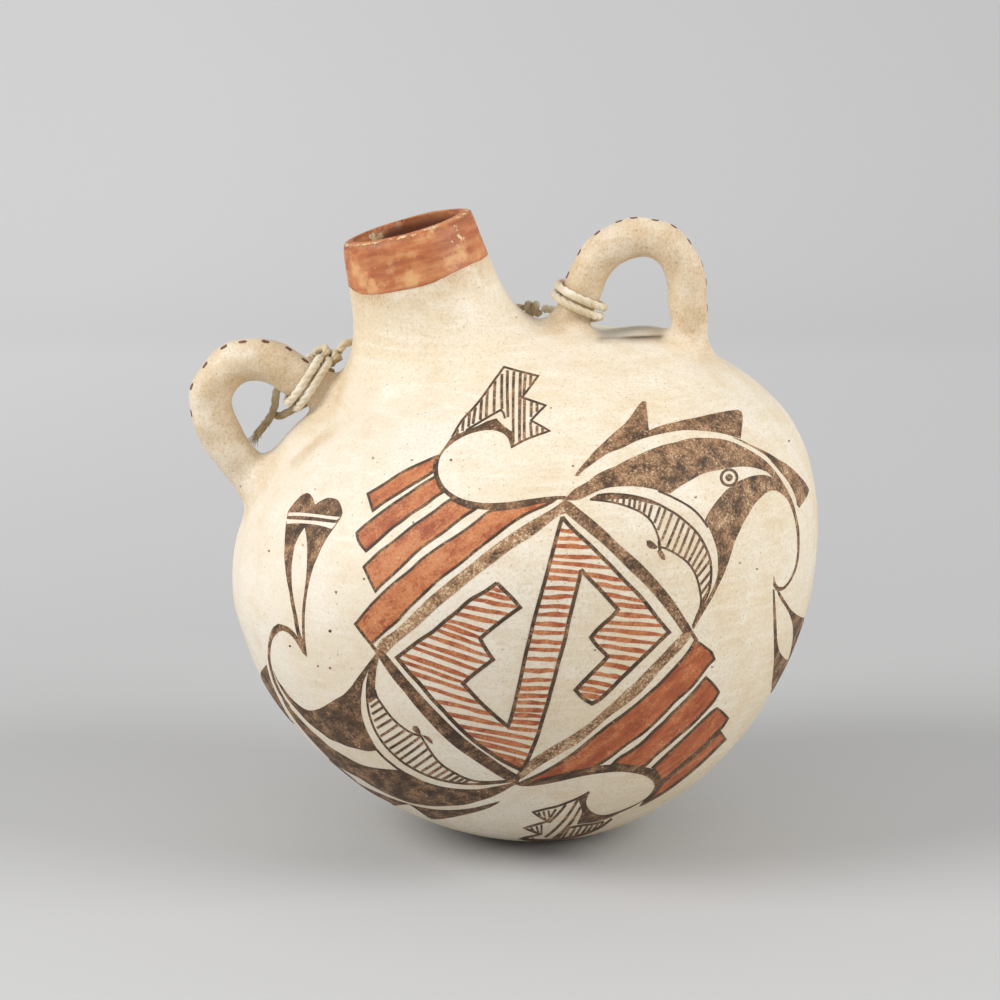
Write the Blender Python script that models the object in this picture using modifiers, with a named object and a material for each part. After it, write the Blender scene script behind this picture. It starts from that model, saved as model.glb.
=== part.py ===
"""Coil-built pottery canteen jar: a round body, a short neck, two loop handles and a tied cotton cord.

Everything is in metres. The clay pieces are modelled upright about the body's centre, and hang on one
empty that tips them to the left, the way the round-bottomed jar rests. The world origin is on its base.
"""

import math

import bmesh
import bpy
from mathutils import Vector

# How the jar stands
LEAN = math.radians(15)
BASE_WEAR = 0.0018
JOINT_GAP = 0.0003

# Body, half sizes from its centre
BODY_RADIUS = 0.1080
BODY_ABOVE = 0.0725
BODY_BELOW = 0.1149
BODY_ROUNDNESS_ABOVE = 1.94
BODY_ROUNDNESS_BELOW = 1.89
BODY_WALL = 0.0055
BASE_WALL = 0.0080
BODY_STEPS = 56
OUTER_RINGS = 40
INNER_RINGS = 26

# Neck, on its own axis
NECK_OFFSET = -0.0098
NECK_RISE = 0.0455
NECK_FOOT_DROP = 0.0045
RIM_RADIUS = 0.0238
RIM_WALL = 0.0040
LIP_ROUNDING = 0.0008
NECK_TAPER = 0.0050
NECK_FLARE = 0.0130
FLARE_POWER = 5
MOUTH_RADIUS = 0.0240
NECK_STEPS = 48
NECK_RINGS = 14

# Handles: each loop's points are (away from the shoulder, towards the neck)
LEFT_HANDLE_ANGLE = math.radians(-49.7)
RIGHT_HANDLE_ANGLE = math.radians(40.3)
LEFT_HANDLE_RADIUS = 0.0079
RIGHT_HANDLE_RADIUS = 0.0072
LEFT_HANDLE_LOOP = (
    (-0.018, 0.0145), (0.006, 0.0170), (0.021, 0.0182), (0.0322, 0.0115),
    (0.0345, -0.0030), (0.0240, -0.0148), (0.008, -0.0230), (-0.008, -0.0300),
)
RIGHT_HANDLE_LOOP = (
    (-0.018, 0.0150), (0.005, 0.0163), (0.020, 0.0173), (0.0324, 0.0097),
    (0.0356, -0.0025), (0.0290, -0.0140), (0.013, -0.0230), (-0.006, -0.0325),
)
ROOT_SWELL = 0.30
ROOT_REACH = 0.006
HANDLE_RINGS = 34

# Cord: heights are of a winding's middle over the shoulder
CORD_DIAMETER = 0.0031
CORD_CLEARANCE = 0.0004
TURN_GAP = 0.0005
POINTS_A_TURN = 24
TURNS = 1.75
LEFT_WRAP_HEIGHT = 0.0125
RIGHT_WRAP_HEIGHT = 0.0105
LEFT_KNOT_LENGTH = 0.0112
LEFT_KNOT_WIDTH = 0.0066
LEFT_KNOT_DROP = 0.0023
RIGHT_KNOT_LENGTH = 0.0085
RIGHT_KNOT_WIDTH = 0.0062
KNOT_SQUARENESS = 2.6
KNOT_RINGS = 10
KNOT_STEPS = 14
RUN_SLACK = 0.0012

# Tails after the left knot, from its winding's middle: towards the neck, towards the back, up the leg
LONG_TAIL = (
    (0.0010, 0.0134, 0.0004), (-0.0030, 0.0132, 0.0038), (-0.0066, 0.0118, 0.0065),
    (-0.0100, 0.0106, 0.0071), (-0.0124, 0.0102, 0.0064), (-0.0152, 0.0103, 0.0051),
    (-0.0192, 0.0104, 0.0043), (-0.0232, 0.0103, 0.0046), (-0.0277, 0.0102, 0.0051),
)
SHORT_TAIL = (
    (-0.0010, 0.0112, -0.0056), (-0.0060, 0.0106, -0.0048), (-0.0102, 0.0101, -0.0033),
    (-0.0130, 0.0101, -0.0014), (-0.0166, 0.0101, 0.0006),
)
# Run behind the neck: its rise from the left knot, then (degrees round the neck, height)
RUN_RISE = ((-0.0426, 0.0170, 0.0802), (-0.0402, 0.0198, 0.0792))
RUN_ROUND_NECK = ((140, 0.0776), (120, 0.0764), (95, 0.0756), (70, 0.0751), (50, 0.0751))
RUN_POINTS = 44
RIGHT_KNOT_PLACE = (0.0258, 0.0208, 0.0742)
RIGHT_LEAD = (0.0340, 0.0142, 0.0712)
RIGHT_APPROACH_TURN = 0.32
RIGHT_APPROACH_DROP = 0.0072
RIGHT_LEAD_POINTS = 16

# How finely a smooth path is worked out, and what counts as one point
STEPS_BETWEEN_KNOTS = 40
MERGE = 0.00001

CORD_RADIUS = CORD_DIAMETER / 2
TURN_PITCH = CORD_DIAMETER + TURN_GAP
RIM_HEIGHT = BODY_ABOVE + NECK_RISE
FOOT_HEIGHT = BODY_ABOVE - NECK_FOOT_DROP
BACK = Vector((0, 1, 0))


def clear_scene():
    for obj in list(bpy.data.objects):
        bpy.data.objects.remove(obj, do_unlink=True)


def new_collection(name):
    collection = bpy.data.collections.new(name)
    bpy.context.scene.collection.children.link(collection)
    return collection


def clay_material(name, colour, roughness):
    material = bpy.data.materials.new(name)
    material.use_nodes = True
    shader = material.node_tree.nodes["Principled BSDF"]
    shader.inputs["Base Color"].default_value = (*colour, 1)
    shader.inputs["Roughness"].default_value = roughness
    shader.inputs["Metallic"].default_value = 0
    return material


def place(obj, collection, parent, material=None):
    """Links an object, hangs it on its parent and gives it its material."""
    collection.objects.link(obj)
    obj.parent = parent
    if material:
        obj.data.materials.append(material)
    return obj


def hide_cutter(obj):
    obj.hide_render = True
    obj.display_type = "WIRE"
    return obj


def cut(obj, cutter, name):
    boolean = obj.modifiers.new(name, "BOOLEAN")
    boolean.operation = "DIFFERENCE"
    boolean.solver = "EXACT"
    boolean.object = cutter


def shade(mesh):
    mesh.shade_smooth()
    mesh.set_sharp_from_angle(angle=math.radians(40))


def turned(name, profile, steps, closed=False):
    """A body turned about Z from (radius, height) points that run down its outer side."""
    mesh = bpy.data.meshes.new(name)
    points = [(radius, 0, height) for radius, height in profile]
    edges = [(i, i + 1) for i in range(len(points) - 1)]
    if closed:
        edges.append((len(points) - 1, 0))
    mesh.from_pydata(points, edges, [])
    obj = bpy.data.objects.new(name, mesh)
    screw = obj.modifiers.new("turn", "SCREW")
    screw.steps = steps
    screw.render_steps = steps
    screw.use_merge_vertices = True
    screw.merge_threshold = MERGE
    screw.use_smooth_shade = True
    return obj


def smooth_path(points, count):
    """Count evenly spaced points on one smooth curve through the given ones."""
    knots = [Vector(point) for point in points]
    knots = [2 * knots[0] - knots[1], *knots, 2 * knots[-1] - knots[-2]]
    fine = []
    for i in range(1, len(knots) - 2):
        a, b, c, d = knots[i - 1 : i + 3]
        for step in range(STEPS_BETWEEN_KNOTS):
            t = step / STEPS_BETWEEN_KNOTS
            fine.append(
                0.5 * (2 * b + (c - a) * t + (2 * a - 5 * b + 4 * c - d) * t**2
                       + (3 * b - a - 3 * c + d) * t**3)
            )
    fine.append(knots[-2])
    run = [0.0]
    for before, after in zip(fine, fine[1:]):
        run.append(run[-1] + (after - before).length)
    spaced, j = [], 0
    for i in range(count):
        goal = run[-1] * i / (count - 1)
        while j < len(run) - 2 and run[j + 1] < goal:
            j += 1
        share = (goal - run[j]) / (run[j + 1] - run[j])
        spaced.append(fine[j].lerp(fine[j + 1], share))
    return spaced


def tube(name, points, radius, sides_resolution, swell=None):
    """A round tube along the points, with flat capped ends. Swell gives the radius as a factor at a point."""
    curve = bpy.data.curves.new(name, "CURVE")
    curve.dimensions = "3D"
    curve.bevel_depth = radius
    curve.bevel_resolution = sides_resolution
    curve.use_fill_caps = True
    spline = curve.splines.new("POLY")
    spline.points.add(len(points) - 1)
    for i, point in enumerate(points):
        spline.points[i].co = (*point, 1)
        spline.points[i].radius = swell(point) if swell else 1
    spline.use_smooth = True
    return bpy.data.objects.new(name, curve)


def as_mesh(obj, collection):
    """The tube as a closed mesh object under the same name, so that it can be cut."""
    collection.objects.link(obj)
    name, parent = obj.name, obj.parent
    graph = bpy.context.evaluated_depsgraph_get()
    mesh = bpy.data.meshes.new_from_object(obj.evaluated_get(graph))
    made = bpy.data.objects.new(name, mesh)
    made.location, made.rotation_euler = obj.location, obj.rotation_euler
    bpy.data.objects.remove(obj, do_unlink=True)
    made.name, made.parent = name, parent
    bm = bmesh.new()
    bm.from_mesh(mesh)
    bmesh.ops.remove_doubles(bm, verts=bm.verts, dist=MERGE)
    bm.to_mesh(mesh)
    bm.free()
    shade(mesh)
    return made


def body_profile(radius, above, below, rings):
    """Half of a round, slightly pointed outline, from the top pole down to the bottom pole."""
    points = []
    for i in range(rings + 1):
        angle = math.pi * i / rings
        side, rise = math.sin(angle), math.cos(angle)
        if rise > 0:
            power, height = 2 / BODY_ROUNDNESS_ABOVE, above
        else:
            power, height = 2 / BODY_ROUNDNESS_BELOW, below
        points.append((radius * side**power, math.copysign(height * abs(rise) ** power, rise)))
    points[0] = (0.0, above)
    points[-1] = (0.0, -below)
    return points


def shoulder_distance(angle):
    """How far the body's outside is from its centre, at this angle from the upright."""
    side = abs(math.sin(angle)) / BODY_RADIUS
    rise = math.cos(angle) / BODY_ABOVE
    power = BODY_ROUNDNESS_ABOVE
    return (side**power + rise**power) ** (-1 / power)


def lowest_point():
    """The body's lowest point when it leans, from its centre, in the upright frame."""
    down = Vector((-math.sin(LEAN), 0, -math.cos(LEAN)))
    outline = body_profile(BODY_RADIUS, BODY_ABOVE, BODY_BELOW, 2000)
    return max((Vector((-radius, 0, height)) for radius, height in outline), key=down.dot)


def neck_radius(height):
    """The neck's outside, nearly straight at the rim and flaring into the shoulder."""
    drop = min(max((RIM_HEIGHT - height) / (RIM_HEIGHT - FOOT_HEIGHT), 0), 1)
    return RIM_RADIUS + NECK_TAPER * drop + NECK_FLARE * drop**FLARE_POWER


def neck_outline(grown):
    """The neck's outer side from the lip down to a foot below the shoulder, grown outwards."""
    foot = FOOT_HEIGHT - BODY_WALL - BASE_WALL
    points = []
    for i in range(NECK_RINGS + 1):
        height = RIM_HEIGHT - LIP_ROUNDING - (RIM_HEIGHT - LIP_ROUNDING - FOOT_HEIGHT) * i / NECK_RINGS
        points.append((neck_radius(height) + grown, height))
    points.append((points[-1][0], foot))
    return points


def make_body(jar, cutters, frame, material):
    body = turned("jar_body", body_profile(BODY_RADIUS, BODY_ABOVE, BODY_BELOW, OUTER_RINGS), BODY_STEPS)
    place(body, jar, frame, material)
    hollow = turned(
        "body_hollow",
        body_profile(
            BODY_RADIUS - BODY_WALL, BODY_ABOVE - BODY_WALL, BODY_BELOW - BASE_WALL, INNER_RINGS
        ),
        BODY_STEPS,
    )
    hide_cutter(place(hollow, cutters, frame))
    cut(body, hollow, "hollow")

    mouth_depth = 6 * BODY_WALL
    bpy.ops.mesh.primitive_cylinder_add(
        vertices=NECK_STEPS, radius=MOUTH_RADIUS, depth=mouth_depth, location=(0, 0, 0)
    )
    mouth = bpy.context.object
    mouth.name = "mouth_cutter"
    move_to(mouth, cutters, frame, (NECK_OFFSET, 0, BODY_ABOVE - BODY_WALL))
    cut(body, hide_cutter(mouth), "mouth")

    side = 2 * BODY_RADIUS
    bpy.ops.mesh.primitive_cube_add(size=1, location=(0, 0, -side / 2))
    ground = bpy.context.object
    ground.name = "worn_base_cutter"
    ground.scale = (side, side, side)
    bpy.context.view_layer.update()
    bpy.ops.object.transform_apply(location=False, rotation=False, scale=True)
    move_to(ground, cutters, None, ground.location)
    cut(body, hide_cutter(ground), "worn_base")


def move_to(obj, collection, parent, location):
    """Puts an object that an operator added into its collection, under its parent."""
    for old in list(obj.users_collection):
        old.objects.unlink(obj)
    collection.objects.link(obj)
    obj.parent = parent
    obj.location = location


def make_neck(jar, cutters, frame, body_cutter, material):
    outer = neck_outline(0)
    foot = outer[-1][1]
    bore = RIM_RADIUS - RIM_WALL
    lip = [(RIM_RADIUS - LIP_ROUNDING, RIM_HEIGHT)]
    inner = [
        (MOUTH_RADIUS, foot),
        (MOUTH_RADIUS, FOOT_HEIGHT),
        (bore, RIM_HEIGHT - 2 * RIM_WALL),
        (bore, RIM_HEIGHT - LIP_ROUNDING),
        (bore + LIP_ROUNDING, RIM_HEIGHT),
    ]
    neck = turned("neck", lip + outer + inner, NECK_STEPS, closed=True)
    neck.location = (NECK_OFFSET, 0, 0)
    place(neck, jar, frame, material)
    cut(neck, body_cutter, "seat_on_body")

    grown = turned("neck_cutter", [(0, RIM_HEIGHT), *neck_outline(1.4 * JOINT_GAP), (0, foot)], NECK_STEPS)
    grown.location = (NECK_OFFSET, 0, 0)
    return hide_cutter(place(grown, cutters, frame))


def handle_frame(angle):
    """The shoulder point that a handle stands on, its way out, and its way towards the neck."""
    out = Vector((math.sin(angle), 0, math.cos(angle)))
    inward = Vector((math.cos(angle), 0, -math.sin(angle))) * -math.copysign(1, angle)
    return out * shoulder_distance(angle), out, inward


def handle_path(angle, loop):
    """The handle's centre line, in the upright frame."""
    seat, out, inward = handle_frame(angle)
    return smooth_path([seat + out * away + inward * across for away, across in loop], HANDLE_RINGS)


def height_over_shoulder(point):
    return point.length - shoulder_distance(math.atan2(point.x, point.z))


def root_factor(point):
    """The luted root is thicker than the rest of the loop."""
    closeness = min(max(1 - height_over_shoulder(point) / ROOT_REACH, 0), 1)
    return 1 + ROOT_SWELL * closeness**2


def make_handle(name, angle, loop, radius, jar, frame, cutters, material):
    path = handle_path(angle, loop)
    handle = tube(name, path, radius, 4, root_factor)
    handle.parent = frame
    handle = as_mesh(handle, jar)
    jar.objects.link(handle)
    handle.data.materials.append(material)
    for cutter in cutters:
        cut(handle, cutter, cutter.name)
    return handle


def leg_station(angle, loop, height):
    """A point of the neck-side leg at this height over the shoulder, the leg's direction and the neck's."""
    _, _, inward = handle_frame(angle)
    path = handle_path(angle, loop)
    i = next(i for i, point in enumerate(path) if height_over_shoulder(point) >= height)
    below, above = path[i - 1], path[i]
    low, high = height_over_shoulder(below), height_over_shoulder(above)
    along = (above - below).normalized()
    across = BACK.cross(along).normalized()
    if across.dot(inward) < 0:
        across.negate()
    return below.lerp(above, (height - low) / (high - low)), along, across


def winding_radius(leg_radius):
    return leg_radius + CORD_CLEARANCE + CORD_RADIUS


def winding(centre, along, across, leg_radius, first, last, first_rise, last_rise):
    """Points of a helix on a leg. Its angles are in turns, from the neck side towards the back."""
    count = max(2, round(abs(last - first) * POINTS_A_TURN))
    points = []
    for i in range(count + 1):
        share = i / count
        rise = first_rise + (last_rise - first_rise) * share
        angle = 2 * math.pi * (first + (last - first) * share)
        middle = centre + along * rise
        radius = winding_radius(leg_radius * root_factor(middle))
        points.append(middle + (across * math.cos(angle) + BACK * math.sin(angle)) * radius)
    return points


def self_gap(points):
    """The least gap between stretches of one tube that aren't neighbours along it."""
    run = [0.0]
    for before, after in zip(points, points[1:]):
        run.append(run[-1] + (after - before).length)
    least = math.inf
    for i, point in enumerate(points):
        for j in range(i + 1, len(points)):
            if run[j] - run[i] > 3 * CORD_DIAMETER:
                least = min(least, (points[j] - point).length - CORD_DIAMETER)
    return least


def knot_half_width(length, width, offset):
    """Half the knot's width at this distance from its middle."""
    share = min(abs(2 * offset / length), 1)
    return width / 2 * (1 - share**KNOT_SQUARENESS) ** (1 / KNOT_SQUARENESS)


def make_knot(name, centre, along, length, width, jar, frame, material):
    """A pulled-tight knot as one rounded lump."""
    outline = []
    for i in range(KNOT_RINGS + 1):
        height = length / 2 * math.cos(math.pi * i / KNOT_RINGS)
        outline.append((knot_half_width(length, width, height), height))
    knot = turned(name, outline, KNOT_STEPS)
    knot.location = centre
    knot.rotation_euler = along.to_track_quat("Z", "Y").to_euler()
    return place(knot, jar, frame, material)


def leave(knot_centre, direction, width):
    """The first two points of a cord that leaves a knot, square to its side."""
    start = knot_centre + direction * (width / 2 + JOINT_GAP)
    return [start, start + direction * CORD_DIAMETER]


def make_left_ties(jar, frame, material):
    """The winding round the left handle's leg, its knot and the two loose tails."""
    centre, along, across = leg_station(LEFT_HANDLE_ANGLE, LEFT_HANDLE_LOOP, LEFT_WRAP_HEIGHT)
    rise = TURNS * TURN_PITCH
    points = winding(centre, along, across, LEFT_HANDLE_RADIUS, 0, -TURNS, -rise / 2, rise / 2)
    outside = winding_radius(LEFT_HANDLE_RADIUS) + CORD_RADIUS
    reach = (outside + JOINT_GAP + LEFT_KNOT_WIDTH / 2) / math.sqrt(2)
    first_lead = lead_length(reach, -rise / 2)
    last_lead = lead_length(reach, rise / 2)
    points = [points[0] + BACK * first_lead, points[0] + BACK * first_lead / 2, *points]
    points += [points[-1] + across * last_lead / 2, points[-1] + across * last_lead]
    print(f"left winding: least gap to itself {self_gap(points) * 1000:.2f} mm")
    place(tube("cord_left_wrap", points, CORD_RADIUS, 1), jar, frame, material)

    knot_centre = centre + (across + BACK) * reach - along * LEFT_KNOT_DROP
    make_knot(
        "cord_left_knot", knot_centre, along, LEFT_KNOT_LENGTH, LEFT_KNOT_WIDTH, jar, frame, material
    )
    low = knot_centre - along * LEFT_KNOT_LENGTH / 4
    lower = knot_centre - along * LEFT_KNOT_LENGTH / 3
    backwards = (BACK - across * 3).normalized()
    starts = {
        "cord_long_tail": (leave(knot_centre, backwards, LEFT_KNOT_WIDTH), LONG_TAIL),
        "cord_short_tail": (leave(lower, -across, LEFT_KNOT_WIDTH), SHORT_TAIL),
    }
    for name, (route, offsets) in starts.items():
        route += [centre + across * n + BACK * back + along * up for n, back, up in offsets]
        path = smooth_path(route, 2 * len(route))
        place(tube(name, path, CORD_RADIUS, 2), jar, frame, material)
    return leave(low, (across * 4 + BACK * 3).normalized(), LEFT_KNOT_WIDTH)


def lead_length(reach, offset):
    """How far a winding's end runs straight before it meets the left knot."""
    nearest = max(abs(offset + LEFT_KNOT_DROP) - CORD_RADIUS, 0)
    return reach - knot_half_width(LEFT_KNOT_LENGTH, LEFT_KNOT_WIDTH, nearest) - JOINT_GAP


def make_run(first_points, jar, frame, material):
    """The stretch that lies on the neck's flare, behind it, from the left knot to the right one."""
    round_neck = []
    for degrees, height in RUN_ROUND_NECK:
        radius = neck_radius(height) + CORD_RADIUS + RUN_SLACK
        angle = math.radians(degrees)
        round_neck.append((NECK_OFFSET + radius * math.cos(angle), radius * math.sin(angle), height))
    knot = Vector(RIGHT_KNOT_PLACE)
    direction = (Vector(RIGHT_LEAD) - Vector(round_neck[-1])).normalized()
    last, before_last = leave(knot, -direction, RIGHT_KNOT_LENGTH)
    path = smooth_path([*first_points, *RUN_RISE, *round_neck, before_last, last], RUN_POINTS)
    place(tube("cord_neck_run", path, CORD_RADIUS, 2), jar, frame, material)
    make_knot(
        "cord_right_knot", knot, direction, RIGHT_KNOT_LENGTH, RIGHT_KNOT_WIDTH, jar, frame, material
    )
    return leave(knot, direction, RIGHT_KNOT_LENGTH)


def make_right_wrap(first_points, jar, frame, material):
    """The lead from the right knot, low behind the leg, and the winding whose end is tucked at the back."""
    centre, along, across = leg_station(RIGHT_HANDLE_ANGLE, RIGHT_HANDLE_LOOP, RIGHT_WRAP_HEIGHT)
    leg = (centre, along, across, RIGHT_HANDLE_RADIUS)
    half = TURNS * TURN_PITCH / 2
    hole_side = 0.5
    turns = winding(*leg, hole_side, hole_side + TURNS, -half, half)
    approach = winding(*leg, RIGHT_APPROACH_TURN, hole_side, -RIGHT_APPROACH_DROP, -half)
    lead = smooth_path([*first_points, *approach[:-1:2], turns[0]], RIGHT_LEAD_POINTS)
    points = lead + turns[1:]
    points.append(points[-1] - across * CORD_DIAMETER)
    print(f"right winding: least gap to itself {self_gap(points) * 1000:.2f} mm")
    place(tube("cord_right_wrap", points, CORD_RADIUS, 1), jar, frame, material)


def main():
    clear_scene()
    jar = new_collection("canteen_jar")
    cutters = new_collection("cutters")
    slip = clay_material("cream_slip", (0.80, 0.70, 0.56), 0.62)
    cotton = clay_material("cotton_cord", (0.72, 0.62, 0.45), 0.9)

    frame = bpy.data.objects.new("jar_frame", None)
    jar.objects.link(frame)
    frame.rotation_euler = (0, -LEAN, 0)
    bottom = lowest_point()
    bottom.rotate(frame.rotation_euler)
    frame.location = (-bottom.x, 0, -bottom.z - BASE_WEAR)

    make_body(jar, cutters, frame, slip)
    body_cutter = turned(
        "body_cutter",
        body_profile(
            BODY_RADIUS + JOINT_GAP, BODY_ABOVE + JOINT_GAP, BODY_BELOW + JOINT_GAP, OUTER_RINGS
        ),
        BODY_STEPS,
    )
    hide_cutter(place(body_cutter, cutters, frame))
    neck_cutter = make_neck(jar, cutters, frame, body_cutter, slip)
    for name, angle, loop, radius in (
        ("left_handle", LEFT_HANDLE_ANGLE, LEFT_HANDLE_LOOP, LEFT_HANDLE_RADIUS),
        ("right_handle", RIGHT_HANDLE_ANGLE, RIGHT_HANDLE_LOOP, RIGHT_HANDLE_RADIUS),
    ):
        make_handle(name, angle, loop, radius, jar, frame, (body_cutter, neck_cutter), slip)

    run_start = make_left_ties(jar, frame, cotton)
    lead_start = make_run(run_start, jar, frame, cotton)
    make_right_wrap(lead_start, jar, frame, cotton)


main()
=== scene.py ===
import math
import random

import bpy
from mathutils import Matrix, Vector, noise
from mathutils.bvhtree import BVHTree
from mathutils.geometry import delaunay_2d_cdt


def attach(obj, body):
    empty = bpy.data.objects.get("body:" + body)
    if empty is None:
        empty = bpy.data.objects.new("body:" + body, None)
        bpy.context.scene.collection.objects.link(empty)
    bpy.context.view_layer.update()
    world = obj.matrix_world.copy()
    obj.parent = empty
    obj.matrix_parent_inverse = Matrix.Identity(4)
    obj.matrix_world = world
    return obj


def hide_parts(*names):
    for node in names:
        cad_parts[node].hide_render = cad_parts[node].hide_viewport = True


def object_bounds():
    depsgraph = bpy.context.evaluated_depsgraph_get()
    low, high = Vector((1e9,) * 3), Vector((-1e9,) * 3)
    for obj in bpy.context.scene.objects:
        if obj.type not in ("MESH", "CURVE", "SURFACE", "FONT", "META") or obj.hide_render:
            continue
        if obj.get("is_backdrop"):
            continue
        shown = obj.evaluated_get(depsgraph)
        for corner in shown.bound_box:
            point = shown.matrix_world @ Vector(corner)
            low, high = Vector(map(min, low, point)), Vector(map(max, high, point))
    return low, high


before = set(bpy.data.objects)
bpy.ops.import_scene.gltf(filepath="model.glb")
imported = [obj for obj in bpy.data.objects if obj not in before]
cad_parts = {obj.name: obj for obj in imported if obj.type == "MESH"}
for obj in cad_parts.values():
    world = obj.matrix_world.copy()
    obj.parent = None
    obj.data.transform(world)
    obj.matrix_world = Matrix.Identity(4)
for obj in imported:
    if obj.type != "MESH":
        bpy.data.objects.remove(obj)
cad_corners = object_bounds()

# Camera
# A long lens 1.4 m in front of the jar looks 12 degrees down at it, the photograph's own angle.
# The jar's middle is the body's centre, where one pixel of the photograph is 0.364 mm.
LEAN = math.radians(15)
JAR_MIDDLE = Vector((-0.007325, 0, 0.111942))
JAR_MIDDLE_PIXEL = (517.7, 530.5)
PIXEL = 0.000364
IMAGE_SIDE = 1000
CAMERA_DISTANCE = 1.4
CAMERA_ELEVATION = math.radians(12)
SENSOR_MM = 36
view_right = Vector((1, 0, 0))
view_up = Vector((0, math.sin(CAMERA_ELEVATION), math.cos(CAMERA_ELEVATION)))
view_back = Vector((0, -math.cos(CAMERA_ELEVATION), math.sin(CAMERA_ELEVATION)))
leaning = Matrix.Translation(JAR_MIDDLE) @ Matrix.Rotation(-LEAN, 4, "Y")


def pixel_aim(x, y):
    """The unit direction from the camera through a pixel of the photograph."""
    across, down = (x - IMAGE_SIDE / 2) * PIXEL, (y - IMAGE_SIDE / 2) * PIXEL
    return (view_right * across - view_up * down - view_back * CAMERA_DISTANCE).normalized()


offset = [(place - IMAGE_SIDE / 2) * PIXEL for place in JAR_MIDDLE_PIXEL]
look_at = JAR_MIDDLE - view_right * offset[0] + view_up * offset[1]
bpy.ops.object.select_all(action="DESELECT")
bpy.ops.object.camera_add(location=look_at + view_back * CAMERA_DISTANCE)
camera = bpy.context.object
camera.name = "camera"
camera.rotation_euler = view_back.to_track_quat("Z", "Y").to_euler()
camera.data.sensor_width = SENSOR_MM
camera.data.lens = SENSOR_MM * CAMERA_DISTANCE / (IMAGE_SIDE * PIXEL)
bpy.context.scene.camera = camera
bpy.context.scene.view_settings.view_transform = "Standard"

# Cotton cord
# One length of three-ply cotton cord, 3.1 mm thick: a winding and a knot on the left handle with two loose
# tails, a run behind the neck, and a knot and a winding on the right handle. The routes are the CAD's own.
CORD_DIAMETER = 0.0031
OFF_HANDLE, OFF_KNOT, OFF_NECK = 0.0004, 0.0003, 0.0012
PLY_PITCH = 0.0098
PLY_STEP = 0.0005
PLY_OFFSET, PLY_RADIUS = 0.165, 0.33
PLY_SIDES = 2
BODY_RADIUS, BODY_ABOVE, BODY_BELOW = 0.1080, 0.0725, 0.1149
ROUND_ABOVE, ROUND_BELOW = 1.94, 1.89
NECK_OFFSET, RIM_HEIGHT, FOOT_HEIGHT = -0.0098, 0.1180, 0.0680
RIM_RADIUS, NECK_TAPER, NECK_FLARE = 0.0238, 0.0050, 0.0130
LEFT_HANDLE = {
    "angle": math.radians(-49.7), "radius": 0.0079,
    "loop": ((-0.018, 0.0145), (0.006, 0.0170), (0.021, 0.0182), (0.0322, 0.0115),
             (0.0345, -0.0030), (0.0240, -0.0148), (0.008, -0.0230), (-0.008, -0.0300)),
}
RIGHT_HANDLE = {
    "angle": math.radians(40.3), "radius": 0.0072,
    "loop": ((-0.018, 0.0150), (0.005, 0.0163), (0.020, 0.0173), (0.0324, 0.0097),
             (0.0356, -0.0025), (0.0290, -0.0140), (0.013, -0.0230), (-0.006, -0.0325)),
}
TURNS, TURN_PITCH = 1.75, 0.0036
LEFT_TURNS_HEIGHT, RIGHT_TURNS_HEIGHT = 0.0125, 0.0105
LEFT_KNOT_LENGTH, LEFT_KNOT_WIDTH, LEFT_KNOT_DROP, LEFT_KNOT_TURNS = 0.0112, 0.0066, 0.0023, 2.4
RIGHT_KNOT_LENGTH, RIGHT_KNOT_WIDTH, RIGHT_KNOT_TURNS = 0.0085, 0.0062, 1.7
RIGHT_KNOT = Vector((0.0258, 0.0208, 0.0742))
HAIRS, HAIR_RADIUS, HAIR_SPREAD, HAIR_ROOT_SPREAD = 90, 0.00011, 0.27, 0.0006
HAIR_LENGTH, HAIR_DROOP = (0.0022, 0.0042), (0.0001, 0.0006)
BACK = Vector((0, 1, 0))


def shoulder(angle):
    """How far the body's outside is from its centre, at this angle from the upright."""
    side, rise = abs(math.sin(angle)) / BODY_RADIUS, math.cos(angle) / BODY_ABOVE
    return (side**ROUND_ABOVE + rise**ROUND_ABOVE) ** (-1 / ROUND_ABOVE)


def over_shoulder(point):
    return point.length - shoulder(math.atan2(point.x, point.z))


def bend(a, b, c, d, t):
    """A point on the smooth curve from b to c, between their neighbours a and d."""
    return 0.5 * (2 * b + (c - a) * t + (2 * a - 5 * b + 4 * c - d) * t**2 + (3 * b - a - 3 * c + d) * t**3)


def smooth_route(points, count):
    """Count evenly spaced points on one smooth curve through the given ones."""
    knots = [Vector(point) for point in points]
    knots = [2 * knots[0] - knots[1], *knots, 2 * knots[-1] - knots[-2]]
    fine = [bend(*knots[i - 1:i + 3], step / 40) for i in range(1, len(knots) - 2) for step in range(40)]
    return even([*fine, knots[-2]], count)


def even(points, count):
    """The same line again, as count evenly spaced points."""
    run = [0.0]
    for before, after in zip(points, points[1:]):
        run.append(run[-1] + (after - before).length)
    spaced, j = [], 0
    for i in range(count):
        goal = run[-1] * i / (count - 1)
        while j < len(run) - 2 and run[j + 1] < goal:
            j += 1
        spaced.append(points[j].lerp(points[j + 1], (goal - run[j]) / max(run[j + 1] - run[j], 1e-12)))
    return spaced


def length_of(points):
    return sum((after - before).length for before, after in zip(points, points[1:]))


def handle_route(handle):
    """The handle's centre line, in the jar's upright frame, and the way from it towards the neck."""
    angle = handle["angle"]
    out = Vector((math.sin(angle), 0, math.cos(angle)))
    inward = Vector((math.cos(angle), 0, -math.sin(angle))) * -math.copysign(1, angle)
    seat = out * shoulder(angle)
    return smooth_route([seat + out * away + inward * across for away, across in handle["loop"]], 34), inward


def root_swell(point):
    """The luted root of a handle is up to a third thicker than the rest of its loop."""
    return 1 + 0.30 * min(max(1 - over_shoulder(point) / 0.006, 0), 1) ** 2


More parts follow.
